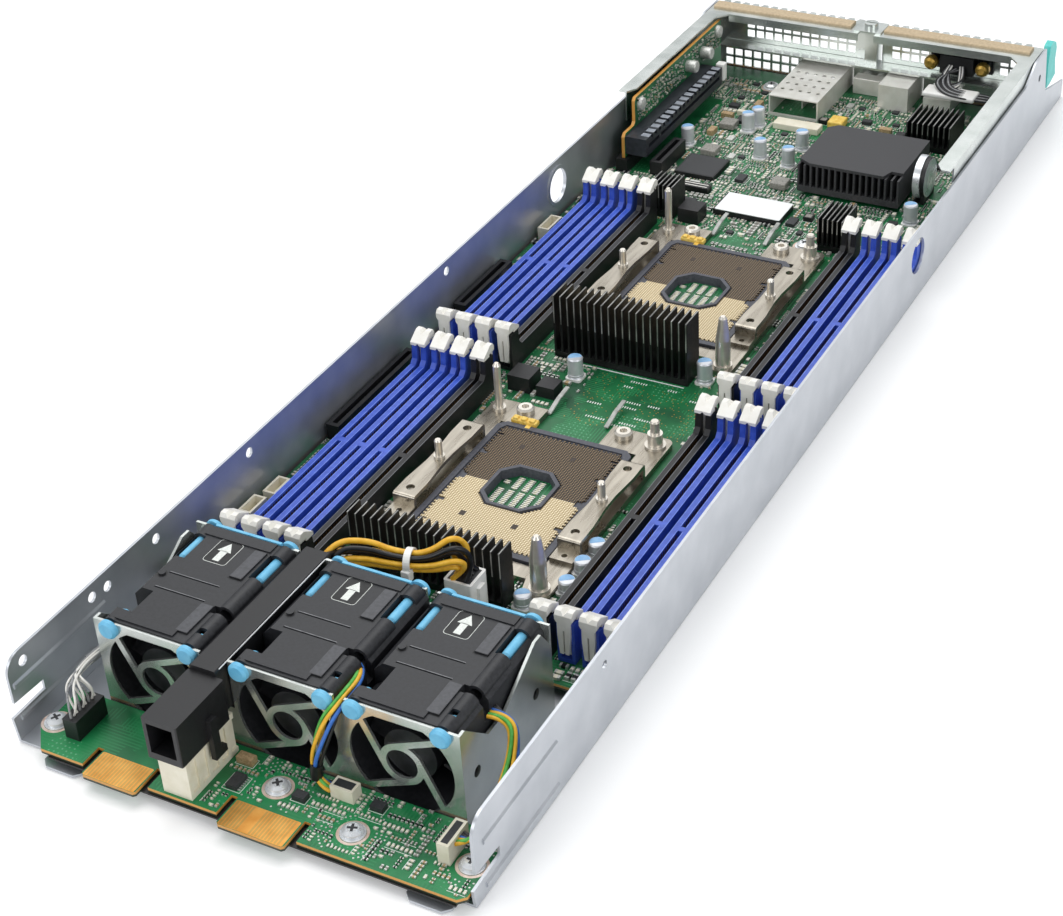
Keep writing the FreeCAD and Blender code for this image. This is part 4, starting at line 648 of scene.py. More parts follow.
# Boxes that stay empty: left, near, right and far
EMPTY = ((-14.5, -56, -8, -36), (-14.5, 104, -10, 122), (11.5, 104, 16, 122), (-8, -56, 44, -15),
         (-12, -70, 17, -54), (44, -100, 50, -58), (-86, -300, -27, -262), (-1, -300, 25, -286),
         (-29.6, 217, -5, 226), (-5, 227, 4, 237), (-8, -121, 16, -95), (-8, 39, 16, 65))
SCREWS = ((80.5, -280.8), (40.5, -284.5), (8.3, -277.5), (-76.3, -282.5), (-80.5, -188), (46, -184),
          (-80.5, -20), (-55, 134), (30, 112), (72, 206), (-48, 262), (66, 268))
RING = 5.3
vertices = []
triangles = []
for part in parts.values():
    start = len(vertices)
    vertices += [vertex.co for vertex in part.data.vertices]
    triangles += [[start + corner for corner in face.vertices] for face in part.data.polygons]
above = BVHTree.FromPolygons(vertices, triangles)


def middle_of(cell):
    """Where the middle of a cell lies, in millimetres."""
    return (cell[0] + 0.5) * CELL, (cell[1] + 0.5) * CELL


def is_board(cell):
    """Whether a ray from above meets the board first."""
    hit = above.ray_cast(Vector((*middle_of(cell), 90)) * MM, DOWN)[0]
    return hit is not None and abs(hit.z - BOARD_TOP * MM) < 0.1 * MM


def is_clear(cell):
    """Whether a cell lies outside the ring of every screw."""
    return all(math.dist(middle_of(cell), screw) > RING + 0.3 for screw in SCREWS)


def numbers(low, high):
    """Numbers of the cells from one coordinate to another."""
    return range(math.floor(low / CELL), math.ceil(high / CELL))


def claim(free, x, y, half_x, half_y, air=0.12):
    """Take a footprint out of the free cells, if all of it is free."""
    spans = [range(math.floor((middle - half - air) / CELL), math.floor((middle + half + air) / CELL) + 1)
             for middle, half in ((x, half_x), (y, half_y))]
    wanted = set(product(*spans))
    if not wanted <= free:
        return False
    free -= wanted
    return True


open_board = set(filter(is_board, product(range(-172, 172), range(-588, 562))))
bare = set(filter(is_clear, open_board))
for left, near, far_right, far in EMPTY:
    bare -= set(product(numbers(left, far_right), numbers(near, far)))
print("bare board, square centimetres:", round(len(bare) * CELL ** 2 / 100))

# %% [markdown]
# ## Ranks of soldered parts
# Designers line small parts up in ranks, and print a line beside many of them and an outline round a chip.
# Ranks start at seeded random places. Four power coils are placed first.

# %% Soldered parts
OUTLINE_GAP = 0.4
RANK_GAP = 0.75
CLUSTER = 16.0
CHIP_SHARE = 0.012
BLOCK_SHARE = 0.03


def lie(size, is_turned):
    """Half sizes along x and y, and the turn, of a part that lies along or across the board."""
    if is_turned:
        return size[1] / 2, size[0] / 2, math.pi / 2
    return size[0] / 2, size[1] / 2, 0


def place_one(bm, draw, kinds, x, y):
    """Stand one larger part at a place, if there is room, with its printed outline."""
    size, master = draw.choice(kinds)
    half_x, half_y, turn = lie(size, draw.random() < 0.5)
    half_x += OUTLINE_GAP
    half_y += OUTLINE_GAP
    if not claim(bare, x, y, half_x, half_y):
        return 0
    stamp(bm, master, (x, y, BOARD_TOP), turn)
    for side in (-1, 1):
        layer(bm, x, y + side * half_y, BOARD_TOP, 2 * half_x, 0.22, INK)
        layer(bm, x + side * half_x, y, BOARD_TOP, 0.22, 2 * half_y, INK)
    return 1


def place_rank(bm, draw, kinds, x, y):
    """Stand a rank of small parts side by side from a place, often with a printed line."""
    size, master = draw.choice(kinds)
    half_x, half_y, turn = lie(size, draw.random() < 0.5)
    pitch = size[1] + RANK_GAP
    count = 0
    for step in range(draw.randint(2, 8)):
        spot = (x + step * pitch, y) if turn else (x, y + step * pitch)
        if not claim(bare, *spot, half_x, half_y):
            break
        stamp(bm, master, (*spot, BOARD_TOP), turn)
        count += 1
    if count > 2 and draw.random() < 0.4:
        run = count * pitch
        shift = (run - pitch) / 2
        if turn:
            layer(bm, x + shift, y - half_y - 0.45, BOARD_TOP, run, 0.2, INK)
        else:
            layer(bm, x - half_x - 0.45, y + shift, BOARD_TOP, 0.2, run, INK)
    return count


def fill_gaps(bm, draw, low, high):
    """Stand the smallest parts in the cells that are still free, in seeded clusters."""
    left_over = sorted((column, row) for column, row in bare
                       if low[0] < column * CELL < high[0] and low[1] < row * CELL < high[1])
    draw.shuffle(left_over)
    count = 0
    for cell in left_over:
        x, y = middle_of(cell)
        if noise.noise((x / CLUSTER, y / CLUSTER, 0)) < -0.12:
            continue
        size, master = draw.choice(smallest)
        half_x, half_y, turn = lie(size, draw.random() < 0.5)
        if claim(bare, x, y, half_x, half_y):
            stamp(bm, master, (x, y, BOARD_TOP), turn)
            count += 1
    return count


def fill_region(name, low, high, tries, seed, is_dense=False, kinds=small_parts):
    """Parts at random places of a region, as one piece."""
    draw = random.Random(seed)
    bm = bmesh.new()
    count = 0
    for attempt in range(tries):
        x = draw.uniform(low[0], high[0])
        y = draw.uniform(low[1], high[1])
        if attempt < tries * CHIP_SHARE:
            count += place_one(bm, draw, chips, x, y)
        elif attempt < tries * BLOCK_SHARE:
            count += place_one(bm, draw, blocks, x, y)
        else:
            count += place_rank(bm, draw, kinds, x, y)
    if is_dense:
        count += fill_gaps(bm, draw, low, high)
    to_piece(name, bm, SOLDER_FINISHES)
    return count


# %% Power coils
COILS = ((-49.7, 211.4), (-46.4, 181.4), (-36.8, 185.3), (-2, 161.4))
COIL = 7.8
coil_bm = bmesh.new()
for x, y in COILS:
    if claim(bare, x, y, COIL / 2 + 0.7, COIL / 2):
        brick(coil_bm, (x, y, BOARD_TOP + 0.3), (COIL + 1.2, 2.6, 0.6), TIN)
        rounded_brick(coil_bm, (x, y, BOARD_TOP + 1.8), (COIL, COIL, 3.2), 0.5, GREY, True)
to_piece("power_coils", coil_bm, SOLDER_FINISHES)

# %% Parts of each region
made = fill_region("port_end_left_parts", (-85, 110), (-10, 279), 2600, 41, True)
made += fill_region("port_end_right_parts", (-10, 110), (85, 279), 2400, 46, True)
made += fill_region("socket_side_parts", (-85, -30), (85, 110), 2400, 42)
made += fill_region("fan_side_parts", (-85, -198), (85, -30), 2400, 43)
made += fill_region("docking_board_parts", (-84, -294), (84, -266), 1000, 44, False, smallest)
print("soldered parts:", made)

# %% [markdown]
# ## Open field between the sockets
# No parts stand here, but gilt through-holes dot the board, beside short rows of white print, too small to
# read, that are drawn as plain bars.

# %% Through-holes and print rows
BAR_PITCH = 1.1
field_draw = random.Random(47)
field_bm = bmesh.new()
for attempt in range(16):
    x = field_draw.uniform(-4, 38)
    y = field_draw.uniform(-52, -18)
    bars = field_draw.randint(4, 8)
    if claim(open_board, x + 0.55 * bars, y, 0.6 * bars, 0.9):
        for index in range(bars):
            layer(field_bm, x + BAR_PITCH * (index + 0.5), y, BOARD_TOP, 0.5, 1.2, 1)
for attempt in range(300):
    x = field_draw.uniform(-7, 43)
    y = field_draw.uniform(-54, -17)
    if claim(open_board, x, y, 0.3, 0.3, 0):
        round_bar(field_bm, (x, y, BOARD_TOP + LAYER / 2), 0.27, LAYER, 6)
to_piece("open_field_print", field_bm, ["worn_gold", "white_ink"])

# %% [markdown]
# ## Window parts
# Through the window of each socket a piece of the board shows, with ladders of pale ceramic capacitors.

# %% Window parts
window_part = two_ended((2.6, 0.62, 0.55), CREAM)
RUNG = 1.12
# Ladders: x, first rung and last rung
LADDERS = ((-8.8, -7, 1), (-8.8, 5, 6), (-4.4, -10, 1), (-4.4, 3, 9), (0, -10, 1), (0, 3, 9), (4.4, -10, 1),
           (4.4, 3, 9), (8.8, -7, 3))
window_bm = bmesh.new()
for socket, (x, first, last) in product(SOCKETS, LADDERS):
    for rung in range(first, last + 1):
        stamp(window_bm, window_part, (socket[0] + x, socket[1] + RUNG * rung, BOARD_TOP))
to_piece("window_capacitors", window_bm, SOLDER_FINISHES)

# %% [markdown]
# ## Memory slots
# Gilt contacts line both walls of a slot's groove, and its rounded rims catch the light, drawn as thin
# paler strips of painted highlight.
# Contacts are 0.85 mm apart in truth and twice that here. Each latch has a shaded groove that tilts with it.

# %% Slot contacts and rims
BANKS = {"front": -116.2, "rear": 38.0}
ROWS = {"left": -71.2, "right": 54.4}
SLOT_PITCH = 9.2
SLOT_LENGTH = 120.8
RIDGE_TOP = 15.0
GROOVE_HALF = 0.9
RIDGE_EDGE = 3.15
STRETCHES = ((-60.4, 1.8), (4.8, 60.4))
CONTACT_PITCH = 1.7
contacts_bm = bmesh.new()
blue_bm = bmesh.new()
black_bm = bmesh.new()
for bank_y, (row, first_x), index, side in product(BANKS.values(), ROWS.items(), range(4), (-1, 1)):
    x = first_x + SLOT_PITCH * index
    is_black = index == (3 if row == "left" else 0)
    rim_bm = black_bm if is_black else blue_bm
    # Painted highlights: thin paler strips on the outer rims and on the rims of the groove.
    layer(rim_bm, x + side * RIDGE_EDGE, bank_y, RIDGE_TOP, 0.2, SLOT_LENGTH)
    rim_x = x + side * (GROOVE_HALF + 0.2)
    wall_x = x + side * (GROOVE_HALF - 0.04)
    for low, high in STRETCHES:
        layer(rim_bm, rim_x, bank_y + (low + high) / 2, RIDGE_TOP, 0.22, high - low)
        for step in range(int((high - low) / CONTACT_PITCH)):
            y = bank_y + low + CONTACT_PITCH * (step + 0.5)
            brick(contacts_bm, (wall_x, y, RIDGE_TOP - 2.6), (0.08, 0.9, 3.4))
to_piece("slot_contacts", contacts_bm, ["shaded_gilt"])
to_piece("blue_slot_rims", blue_bm, ["blue_rim"])
to_piece("black_slot_rims", black_bm, ["black_rim"])

# %% Latch grooves
LATCH_FACE = 66.8 + 3.5
ENDS = {"near": -1, "far": 1}
groove_count = 0
for (bank, bank_y), (row, first_x), (end, side) in product(BANKS.items(), ROWS.items(), ENDS.items()):
    groove_bm = bmesh.new()
    for index in range(4):
        place = (first_x + SLOT_PITCH * index, bank_y + side * (LATCH_FACE + 0.04), 15.7)
        brick(groove_bm, place, (0.56, 0.08, 9.2))
        groove_count += 1
    body = f"memory_latches_{bank}_{row}_{end}"
    to_piece(f"latch_grooves_{bank}_{row}_{end}", groove_bm, ["latch_shade"], body)
print("latch grooves:", groove_count)

# %% [markdown]
# ## Contact tongues and screw pads
# Each tongue carries a gold plate ruled into narrow contacts, 0.8 mm apart in truth and 1.2 mm here. Tinned
# dots stitch the board round three screws. Each screw has a ring of bare copper and a cross recess in painted
# shade.

# %% Gold contacts on the tongues
TONGUES = ((-53.2, -32.5), (-0.6, 23.9))
TONGUE_Y = -293.2
FINGER_PITCH = 1.2
PLAIN_BAND = (7.6, 10.4)
finger_bm = bmesh.new()
for first, last in TONGUES:
    width = last - first
    plate = (first + width / 2, TONGUE_Y, BOARD_TOP + 0.03)
    rounded_brick(finger_bm, plate, (width - 0.4, 11.4, 0.06), 0.5)
    for index in range(int((width - 1) / FINGER_PITCH)):
        x = first + 0.5 + FINGER_PITCH * (index + 0.5)
        if not PLAIN_BAND[0] < x < PLAIN_BAND[1]:
            layer(finger_bm, x, TONGUE_Y, BOARD_TOP + 0.05, 0.72, 10.8, 1)
to_piece("tongue_contacts", finger_bm, ["gold", "worn_gold"])
print("tongues:", len(TONGUES))

# %% Stitching dots on the docking board
DOT_RINGS = ((8.3, -277.5, (8.4, 10, 11.6, 13.2)), (40.5, -284.5, (7.4, 9, 10.6)), (80.5, -280.8, (7.4, 9)))
DOT_PITCH = 1.5
dot_bm = bmesh.new()
round_bar(dot_bm, (0, 0, LAYER / 2), 0.36, LAYER, 6)
dot = to_mesh("stitching_dot", dot_bm)
dots_bm = bmesh.new()
for middle_x, middle_y, radii in DOT_RINGS:
    for radius in radii:
        count = round(math.tau * radius / DOT_PITCH)
        for index in range(count):
            out_x, out_y = on_ring(radius, index, count)
            if claim(bare, middle_x + out_x, middle_y + out_y, 0.3, 0.3, 0):
                stamp(dots_bm, dot, (middle_x + out_x, middle_y + out_y, BOARD_TOP))
to_piece("stitching_dots", dots_bm, ["tin"])

# %% Screw pads and recesses
SCREW_TOP = 8.4
ring_pad = turned([(RING - 1, 0), (RING, 0), (RING, 0.05), (RING - 1, 0.05)], 28)
# A dark cross of painted shade stands for each screw's recess.
recess = bricks("cross_recess", [((0, 0, 0), (3.4, 0.9, 0.06), 1), ((0, 0, 0), (0.9, 3.4, 0.05), 1)])
pads_bm = bmesh.new()
for index, (x, y) in enumerate(SCREWS):
    stamp(pads_bm, ring_pad, (x, y, BOARD_TOP))
    stamp(pads_bm, recess, (x, y, SCREW_TOP), 0.35 * index)
to_piece("screw_pads", pads_bm, ["copper_pad", "grey_resin_and_shade"])
print("screws:", len(SCREWS))

# %% [markdown]
# ## Airflow labels on the fans
# Each fan carries a black label with a plain white arrow along the air's path, in three thin layers.

# %% Airflow labels
FAN_TOP = 41.0
FAN_FRONT = -264.0
LABEL_Y = FAN_FRONT + 44.9
label_bm = bmesh.new()
for centre in FAN_CENTRES:
    x = centre - 2.5
    rounded_brick(label_bm, (x, LABEL_Y, FAN_TOP + 0.02), (9.3, 12.5, 0.04), 1.3, 1)
    rounded_brick(label_bm, (x, LABEL_Y, FAN_TOP + 0.04), (8.9, 12.1, 0.08), 1.1, 0)
    layer(label_bm, x, FAN_FRONT + 42.8, FAN_TOP + 0.08, 2.6, 5.6, 1)
    round_bar(label_bm, (x, FAN_FRONT + 46.9, FAN_TOP + 0.1), 3.1, LAYER, 3, 1)
to_piece("airflow_labels", label_bm, ["black_film", "white_ink"])
print("labels:", len(FAN_CENTRES))

# %% [markdown]
# ## Fan tops
# Ledges have a polished face, seams a pale edge of painted highlight, and a dark gap runs beside ledges and
# lead hook.

# %% Fan tops
LEDGES = ((4, 19), (34.5, 50))
LEDGE_TOP = FAN_TOP + 0.6
SEAMS = (20.75, 29.05)
hook_gap = turned([(1.35, 0), (1.85, 0), (1.85, 0.05), (1.35, 0.05)], 20, 1)
fan_bm = bmesh.new()
for centre in FAN_CENTRES:
    for near, far in LEDGES:
        middle = FAN_FRONT + (near + far) / 2
        face = (centre + 9.6, middle, LEDGE_TOP + LAYER / 2)
        rounded_brick(fan_bm, face, (4.5, far - near - 0.3, LAYER), 0.4)
        layer(fan_bm, centre + 9.4, FAN_FRONT + near - 0.25, FAN_TOP, 5.4, 0.4, 1)
        layer(fan_bm, centre + 6.95, middle, FAN_TOP, 0.4, far - near, 1)
    # Each seam gets a thin strip of painted highlight along its edge.
    for along in SEAMS:
        layer(fan_bm, centre - 2.9, FAN_FRONT + along, FAN_TOP, 20, 0.2, 2)
    stamp(fan_bm, hook_gap, (centre - 14.8, FAN_FRONT + 27, FAN_TOP))
to_piece("fan_top_faces", fan_bm, ["pale_ledge", "black_film", "seam_highlight"])
print("fan tops:", len(FAN_CENTRES))

# %% [markdown]
# ## Wires
# A bundle is several wires that share a route and part only at their ends. Each is a smooth NURBS line,
# moved sideways to its own place in the bundle, with a round bevel as its insulation.

# %% Wire insulation and bundle helper
WIRES = {
    # Soft vinyl insulation: even colour with a slight shine.
    "yellow_wire": ("e0a51f", "f2bf3c", 0.0, (0.38, 0.46), 2),
    "black_wire": ("0e0e10", "1a1a1d", 0.0, (0.32, 0.42), 2),
    "blue_wire": ("2b62b5", "3f7bd0", 0.0, (0.38, 0.46), 2),
    "green_wire": ("3f9d3c", "62bd55", 0.0, (0.38, 0.46), 2),
    "white_wire": ("dcd9d2", "f0eee8", 0.0, (0.4, 0.5), 2),
    # Woven sleeve: grey with a fine dark weave.
    "grey_sleeve": ("6d6e70", "a9aaab", 0.0, (0.5, 0.65), 0.8, 0.08),
}
add_looks(WIRES)
YELLOW, BLACK_WIRE, BLUE, GREEN, WHITE, SLEEVE = range(len(WIRES))


def bundle_points(route, place, start, end, spread=None):
    """A wire's points: the route, moved to its place across the bundle, and to its pin at each end."""
    last = len(route) - 1
    points = []
    for index, spot in enumerate(route):
        along = Vector(route[min(index + 1, last)]) - Vector(route[max(index - 1, 0)])
        side = along.cross(Vector((0, 0, 1)))
        side = side.normalized() if side.length > 0.05 * along.length else Vector((1, 0, 0))
        up_side = side.cross(along).normalized()
        width = spread[index] if spread else 1
        offset = (side * place[0] + up_side * place[1]) * width
        if index == 0:
            offset = Vector(start)
        if index == last:
            offset = Vector(end)
        points.append(Vector(spot) + offset)
    return points


def wires(name, node, runs):
    """One curve object of many wires, each given as points, radius and finish."""
    curve = bpy.data.curves.new(name, "CURVE")
    curve.dimensions = "3D"
    curve.bevel_depth = MM
    curve.bevel_resolution = 2
    curve.resolution_u = 8
    curve.use_fill_caps = True
    for look in WIRES:
        curve.materials.append(looks[look])
    for points, radius, colour in runs:
        spline = curve.splines.new("NURBS")
        spline.points.add(len(points) - 1)
        for point, spot in zip(spline.points, points):
            point.co = (*(Vector(spot) * MM), 1)
            point.radius = radius
        spline.order_u = 3
        spline.use_endpoint_u = True
        spline.material_index = colour
    piece = bpy.data.objects.new(name, curve)
    scene.collection.objects.link(piece)
    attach(piece, "tray")
    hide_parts(node)
    print(name, len(runs), "wires")


# %% [markdown]
# ## Power bundle
# Eight thick wires, one in the middle and seven round it, leave the covered bridge card, are gathered by a
# cable tie, and arch down into the power connector.

# %% Power bundle
POWER_ROUTE = [(-20, -204, 33.5), (-19.5, -196, 34), (-9, -190.5, 33.8), (-1, -188.4, 31.8),
               (12, -185.6, 32), (20, -180.5, 36.6), (21.4, -178.6, 31), (21.5, -178.5, 25)]
POWER_SPREAD = (1, 1.5, 1.5, 1.05, 1.05, 2.1, 1.6, 1)
power_runs = []
for index in range(8):
    place = (0, 0) if index == 7 else on_ring(2.75, index, 7)
    start = (-1.7 + 3.4 * (index % 2), 0, -4.5 + 3 * (index // 2))
    end = (-2.6 + 5.2 * (index % 2), -4 + 2.66 * (index // 2), 0)
    points = bundle_points(POWER_ROUTE, place, start, end, POWER_SPREAD)
    power_runs.append((points, 1.05, (YELLOW, BLACK_WIRE)[index % 2]))
wires("power_wires", "power_cable", power_runs)

# %% Cable tie
tie_band = turned([(3.9, -1.2), (4.6, -1.2), (4.6, 1.2), (3.9, 1.2)], 28)
before, after = (Vector(point) for point in POWER_ROUTE[3:5])
tie_middle = (before + after) / 2
tie_turn = Vector((0, 0, 1)).rotation_difference(after - before).to_matrix().to_4x4()
tie_bm = bmesh.new()
stamp(tie_bm, tie_band, tie_middle, 0, tie_turn)
rounded_brick(tie_bm, tie_middle + Vector((0.6, -3.6, -3.6)), (3.4, 3.2, 4.4), 0.5, 0, True)
to_piece("cable_tie", tie_bm, ["white_moulded"])

# %% [markdown]
# ## Fan leads
# The middle and right fans each have six thin wires that drop past the bracket to a small header. Near its
# header the middle lead is gathered by a black sleeve.

# %% Fan leads
MIDDLE_LEAD = [(22.8, -246, 37), (27, -251, 38.4), (27, -266, 38), (25.6, -270.8, 34), (20.6, -272.4, 18),
               (19.6, -272, 8.8), (25.8, -272, 8.8)]
RIGHT_LEAD = [(68, -243, 32.4), (75.4, -243, 32.4), (78.4, -248, 24), (80.6, -260, 16.5), (82.4, -277.6, 12),
              (74.6, -277.6, 12)]
LEAD_SPREAD = (1, 1, 1, 1.7, 1.5, 1, 1)
FAN_WIRE = 0.66
fan_runs = []
for index, colour in enumerate((YELLOW, GREEN, YELLOW, BLUE, BLACK_WIRE, BLACK_WIRE)):
    place = on_ring(1.35, index, 6)
    row = 1.1 * (index - 2.5)
    for route, closeness in ((MIDDLE_LEAD, 0.8), (RIGHT_LEAD, 1)):
        points = bundle_points(route, place, (0, row, 0), (0, row * closeness, 0), LEAD_SPREAD)
        fan_runs.append((points, FAN_WIRE, colour))
MIDDLE_SLEEVE = [(20.9, -272.3, 17), (20.2, -272.2, 14), (19.9, -272, 10.5)]
fan_runs.append((MIDDLE_SLEEVE, 2.1, BLACK_WIRE))
wires("fan_lead_wires", "fan_leads", fan_runs)

# %% [markdown]
# ## Signal lead
# A row of thin white and grey wires fans up out of the pin header, gathers, and disappears into a grey
# braided sleeve along the left wall.

# %% Signal lead
SIGNAL_ROUTE = [(-66, -279.5, 14), (-66, -279.5, 20.5), (-71.5, -273, 22), (-76, -262, 18),
                (-77, -240, 14.5), (-76.4, -215, 12.5), (-79, -192, 12.8), (-80.5, -178, 9.6),
                (-80.5, -166, 9.6)]
signal_runs = []
for index in range(9):
    place = on_ring(1.1, index, 9)
    row = 1.55 * (index - 4)
    bow = 2.4 * math.sin(2.1 * index)
    points = bundle_points(SIGNAL_ROUTE[:5], place, (0, row, 0), (place[0], 0, place[1]))
    points[1] = Vector((-66 + bow, -279.5 + row, 18.5))
    points.insert(2, Vector((-70 + bow, -278 + 0.5 * row, 22 + 0.4 * bow)))
    signal_runs.append((points, 0.42, WHITE if index % 3 else SLEEVE))
signal_runs.append(([(-75.4, -263.5, 18.3)] + SIGNAL_ROUTE[4:], 1.8, SLEEVE))
wires("signal_lead_wires", "signal_lead", signal_runs)

# %% [markdown]
# ## Serial lead
# Nine thin wires leave the serial port as a flat ribbon, in a white sleeve, and go down to the board beside
# the right bracket. Six more hang in loops under the port.

# %% Serial lead
SERIAL_ROUTE = [(46, 270, 28), (41, 262, 26.5), (46, 254.5, 23), (58, 254.5, 22), (70, 259, 20),
                (72.5, 263, 14), (72.5, 263, 6)]
SERIAL_WIRE = 0.45
serial_runs = []
for index in range(9):
    across = 1.05 * (index - 4)
    points = bundle_points(SERIAL_ROUTE, (across, 0), (across, 0, 0), (0.45 * across, 0, 0))
    serial_runs.append((points, SERIAL_WIRE, SLEEVE if index % 3 == 1 else BLACK_WIRE))
for index in range(6):
    low = 26 - 0.9 * index
    inward = 0.4 * index
    side_y = 263.5 - 0.5 * index
    loop = [(42 + inward, 270, 29.5), (39 + inward, side_y, low), (46, 261 - 0.7 * index, low - 3),
            (53 - inward, side_y, low), (50 - inward, 270, 29.5)]
    serial_runs.append((loop, SERIAL_WIRE, (BLACK_WIRE, SLEEVE, WHITE)[index % 3]))
wires("serial_lead_wires", "serial_lead", serial_runs)
sleeve_bm = bmesh.new()
rounded_brick(sleeve_bm, (48.5, 255.6, 21.4), (26, 10.4, 2.4), 0.9, 0, True)
to_piece("serial_sleeve", sleeve_bm, ["white_moulded"])

# %% [markdown]
# ## Fin edges
# The sinks are black, but the thin front and top edge of each fin catches the light, so a painted highlight is
# drawn there as a silver strip.

# %% Fin edges
# Each sink: left, right, near, far, foot, top and number of fins
SINKS = ((-31, 31, -170.2, -162, 9, 30.5, 20), (-30, 30, -14, -2.4, 9, 35, 20),
         (-47, -35, 113.2, 127, 9, 22, 6), (36, 48, 111, 129, 9, 22, 6), (38, 60, 221, 243, 9, 20, 9))
FIN = 0.9
edge_bm = bmesh.new()
for left, far_right, near, far, foot, top, fins in SINKS:
    rise = (top - foot) / 2
    for index in range(fins):
        x = left + FIN / 2 + (far_right - left - FIN) * index / (fins - 1)
        brick(edge_bm, (x, near - LAYER / 2, top - rise / 2), (0.45, LAYER, rise))
        layer(edge_bm, x, (near + far) / 2, top, 0.35, far - near)
to_piece("fin_edges", edge_bm, ["fin_edge_glint"])
print("fins:", sum(sink[-1] for sink in SINKS))

# %% [markdown]
# ## Capacitor cans
# A can stands on a pale square foot and has a rolled bead, a rounded rim and a printed blue segment, which
# is a thin disc cut by a plane and closed again.

# %% Capacitor feet and tops
CANS = [(x, y, 16.0) for x, y in ((-39, 210.5), (-36.6, 217.6), (-22.2, 185.5), (-6.4, 182.2), (-7, 201.4),
                                  (-60.5, 186), (65.8, 149.6), (-14.5, -25.5), (35, -8))]
CANS += [(x, y, 12.0) for x, y in ((46.6, -128.3), (46.6, -139.8), (46.6, -152.1), (36, -165.4))]
segment_bm = bmesh.new()
round_bar(segment_bm, (0, 0, 0.03), 2.75, 0.06, 28, 1)
bmesh.ops.bisect_plane(segment_bm, geom=segment_bm.verts[:] + segment_bm.edges[:] + segment_bm.faces[:],
                       plane_co=(0, -0.5 * MM, 0), plane_no=(0, 1, 0), clear_inner=True)
bmesh.ops.holes_fill(segment_bm, edges=segment_bm.edges)
paint(segment_bm.verts, 1)
segment = to_mesh("can_segment", segment_bm)
can_rim = turned([(2.85, 0), (3.25, -0.5), (3.25, -0.9), (2.7, -0.9), (2.7, 0)], 28, 2)
can_waist = turned([(3.1, -0.5), (3.32, -0.25), (3.32, 0.25), (3.1, 0.5)], 28, 2)
cans_bm = bmesh.new()
for x, y, top in CANS:
    rounded_brick(cans_bm, (x, y, BOARD_TOP + 0.5), (6.9, 6.9, 1), 1.2, 0)
    stamp(cans_bm, segment, (x, y, top), 0.6)
    stamp(cans_bm, can_rim, (x, y, top))
    stamp(cans_bm, can_waist, (x, y, BOARD_TOP + 2.2))
to_piece("capacitor_trim", cans_bm, ["white_moulded", "can_print", "can_metal"])
print("capacitor cans:", len(CANS))

# %% [markdown]
# ## Riser card
# Small parts, two bright screw heads and two cans stand on the upright card, stamped with their upright axis
# turned towards the middle of the tray. Its long slot shows grey inserts and a white end block.

# %% Riser card parts
CARD_FACE = -77.0
ON_CARD = Matrix.Rotation(math.pi / 2, 4, "Y")
card_free = set(product(range(328, 526), range(49, 74)))
card_bm = bmesh.new()
screw_head = turned([(0, 2.6), (1.6, 2.6), (2.9, 2.1), (3.3, 1.2), (3.3, 0), (0, 0)], 24, TIN)
card_can = turned([(0, 5.6), (2.6, 5.6), (3, 5.1), (3, 0), (0, 0)], 24, TIN)
CARD_ITEMS = ((167.5, 33.2, screw_head), (258.7, 33.6, screw_head), (222.1, 30, card_can),
              (240.3, 29.8, card_can))
for y, z, master in CARD_ITEMS:
    claim(card_free, y, z, 3.6, 3.6)
    stamp(card_bm, master, (CARD_FACE, y, z), 0, ON_CARD)
card_draw = random.Random(45)
for attempt in range(1500):
    size, master = card_draw.choice(smallest)
    y = card_draw.uniform(165, 262)
    z = card_draw.uniform(25, 36.6)
    half_z, half_y, turn = lie(size, card_draw.random() < 0.5)
    if claim(card_free, y, z, half_y, half_z):
        stamp(card_bm, master, (CARD_FACE, y, z), turn, ON_CARD)
to_piece("riser_card_parts", card_bm, SOLDER_FINISHES)

# %% Riser slot inserts
SLOT_TOP = 23.4
insert_bm = bmesh.new()
for index in range(16):
    y = 155.6 + 5.45 * index
    rounded_brick(insert_bm, (-68.3, y, SLOT_TOP + 0.04), (4.2, 3.3, 0.08), 0.3)
rounded_brick(insert_bm, (-67.4, 242.4, 20.2), (4.6, 4.2, 9), 0.6, 1, True)
to_piece("riser_slot_inserts", insert_bm, ["grey_insert", "white_moulded"])

# %% [markdown]
# ## Covers, clips and jack screws
# A white film covers the mezzanine connector, a yellow clip sits on the far edge of each socket with two
# cloudy straps beyond it, and small blocks stand near the ports. Thin layers give a chip's grey face, a
# painted highlight along the right top edge of the bridge card, a printed line, three wells in painted shade
# and the bright bars of the low slot.

# %% Covers and clips
TRIM_FINISHES = ["white_film_print_and_glint", "yellow_moulded", "cream_moulded", "grey_resin_and_shade", "tinned", "cloudy_strap"]
FILM_PRINT_AND_GLINT, CLIP, IVORY, DARK, SHEET, STRAP = range(len(TRIM_FINISHES))
# Wells of the power connector and the two fan headers, in painted shade: x, y, top, width and length
WELLS = ((21.5, -178.5, 25, 8.8, 8.8), (30, -271.5, 11, 6.6, 3.2), (72.5, -278, 14, 2.4, 10))
# Bent halves of a strap: y, z and lean in degrees
STRAP_HALVES = ((57.4, 8.0, 14), (65.4, 9.3, 4))
trim_bm = bmesh.new()
rounded_brick(trim_bm, (-3.3, 133.2, 9.15), (31.8, 17.4, 0.3), 0.5, FILM_PRINT_AND_GLINT)
rounded_brick(trim_bm, (-17.3, 221.4, 7.7), (23.6, 7.4, 3.4), 0.5, IVORY, True)
rounded_brick(trim_bm, (-0.6, 232, 7.9), (7.6, 8.6, 3.8), 0.6, CLIP, True)
rounded_brick(trim_bm, (-43, 164, 8.43), (18.6, 18.6, 0.06), 0.4, DARK)
rounded_brick(trim_bm, (0.25, 274.3, 10.2), (15.1, 7, 8.5), 0.4, SHEET, True)
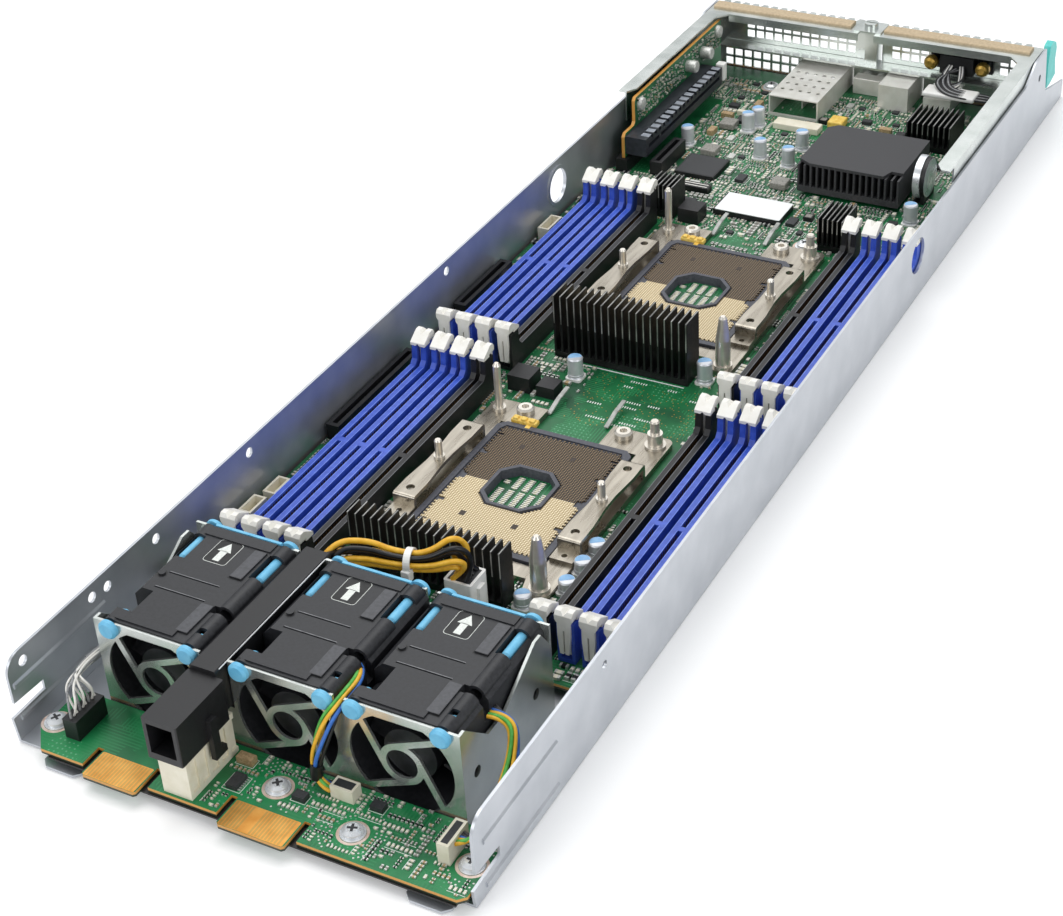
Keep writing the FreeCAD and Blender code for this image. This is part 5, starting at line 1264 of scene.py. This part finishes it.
# Painted highlight: a pale strip along the right top edge of the bridge card.
brick(trim_bm, (-14.75, -238, 40.1), (0.2, 62, 0.35), FILM_PRINT_AND_GLINT)
layer(trim_bm, 4, -15.4, BOARD_TOP, 50, 0.6, FILM_PRINT_AND_GLINT)
for x, y, top, width, length in WELLS:
    layer(trim_bm, x, y, top, width, length, DARK)
for y in (142.4, 144.6):
    brick(trim_bm, (-40, y, 9.03), (18, 0.7, 0.06), SHEET)
strap_bm = bmesh.new()
rounded_brick(strap_bm, (0, 0, 0), (1.9, 9, 0.8), 0.3, STRAP, True)
strap = to_mesh("strap_half", strap_bm)
for socket_x, socket_y in SOCKETS:
    x = socket_x - 19.4
    y = socket_y + 40.6
    rounded_brick(trim_bm, (x, y, 9.9), (11.2, 3.6, 2.2), 0.6, CLIP, True)
    for side in (-1, 0, 1):
        rounded_brick(trim_bm, (x + 3.6 * side, y - 0.4, 11.1), (2.2, 2.4, 1.4), 0.4, CLIP, True)
    brick(trim_bm, (x + 2.6, y - 2.6, 9.3), (2.0, 2.2, 0.8), CLIP)
    for x, (y, z, lean) in product((-15.6, 9.6), STRAP_HALVES):
        tilt = Matrix.Rotation(math.radians(lean), 4, "X")
        stamp(trim_bm, strap, (socket_x + x, socket_y + y, z), 0, tilt)
to_piece("covers_and_clips", trim_bm, TRIM_FINISHES)

# %% Contact plate of the coin cell
plate_bm = bmesh.new()
cell_plate = turned([(0, 0.5), (5.4, 0.5), (6.2, 0.25), (8.6, 0.25), (9.1, 0), (0, 0)], 40)
stamp(plate_bm, cell_plate, (65.6, 176, 16.8), 0, ON_CARD)
to_piece("cell_contact_plate", plate_bm, ["bright_steel"])

# %% Brass jack screws
jack = turned([(0, 4.6), (1.6, 4.6), (2.9, 3.8), (3.5, 2.4), (3.5, 0.4), (3.1, 0), (0, 0)], 24)
jack_bm = bmesh.new()
TOWARDS_FANS = Matrix.Rotation(math.pi / 2, 4, "X")
for x in (33, 59):
    stamp(jack_bm, jack, (x, 272.2, 29.5), 0, TOWARDS_FANS)
to_piece("jack_screws", jack_bm, ["brass"])
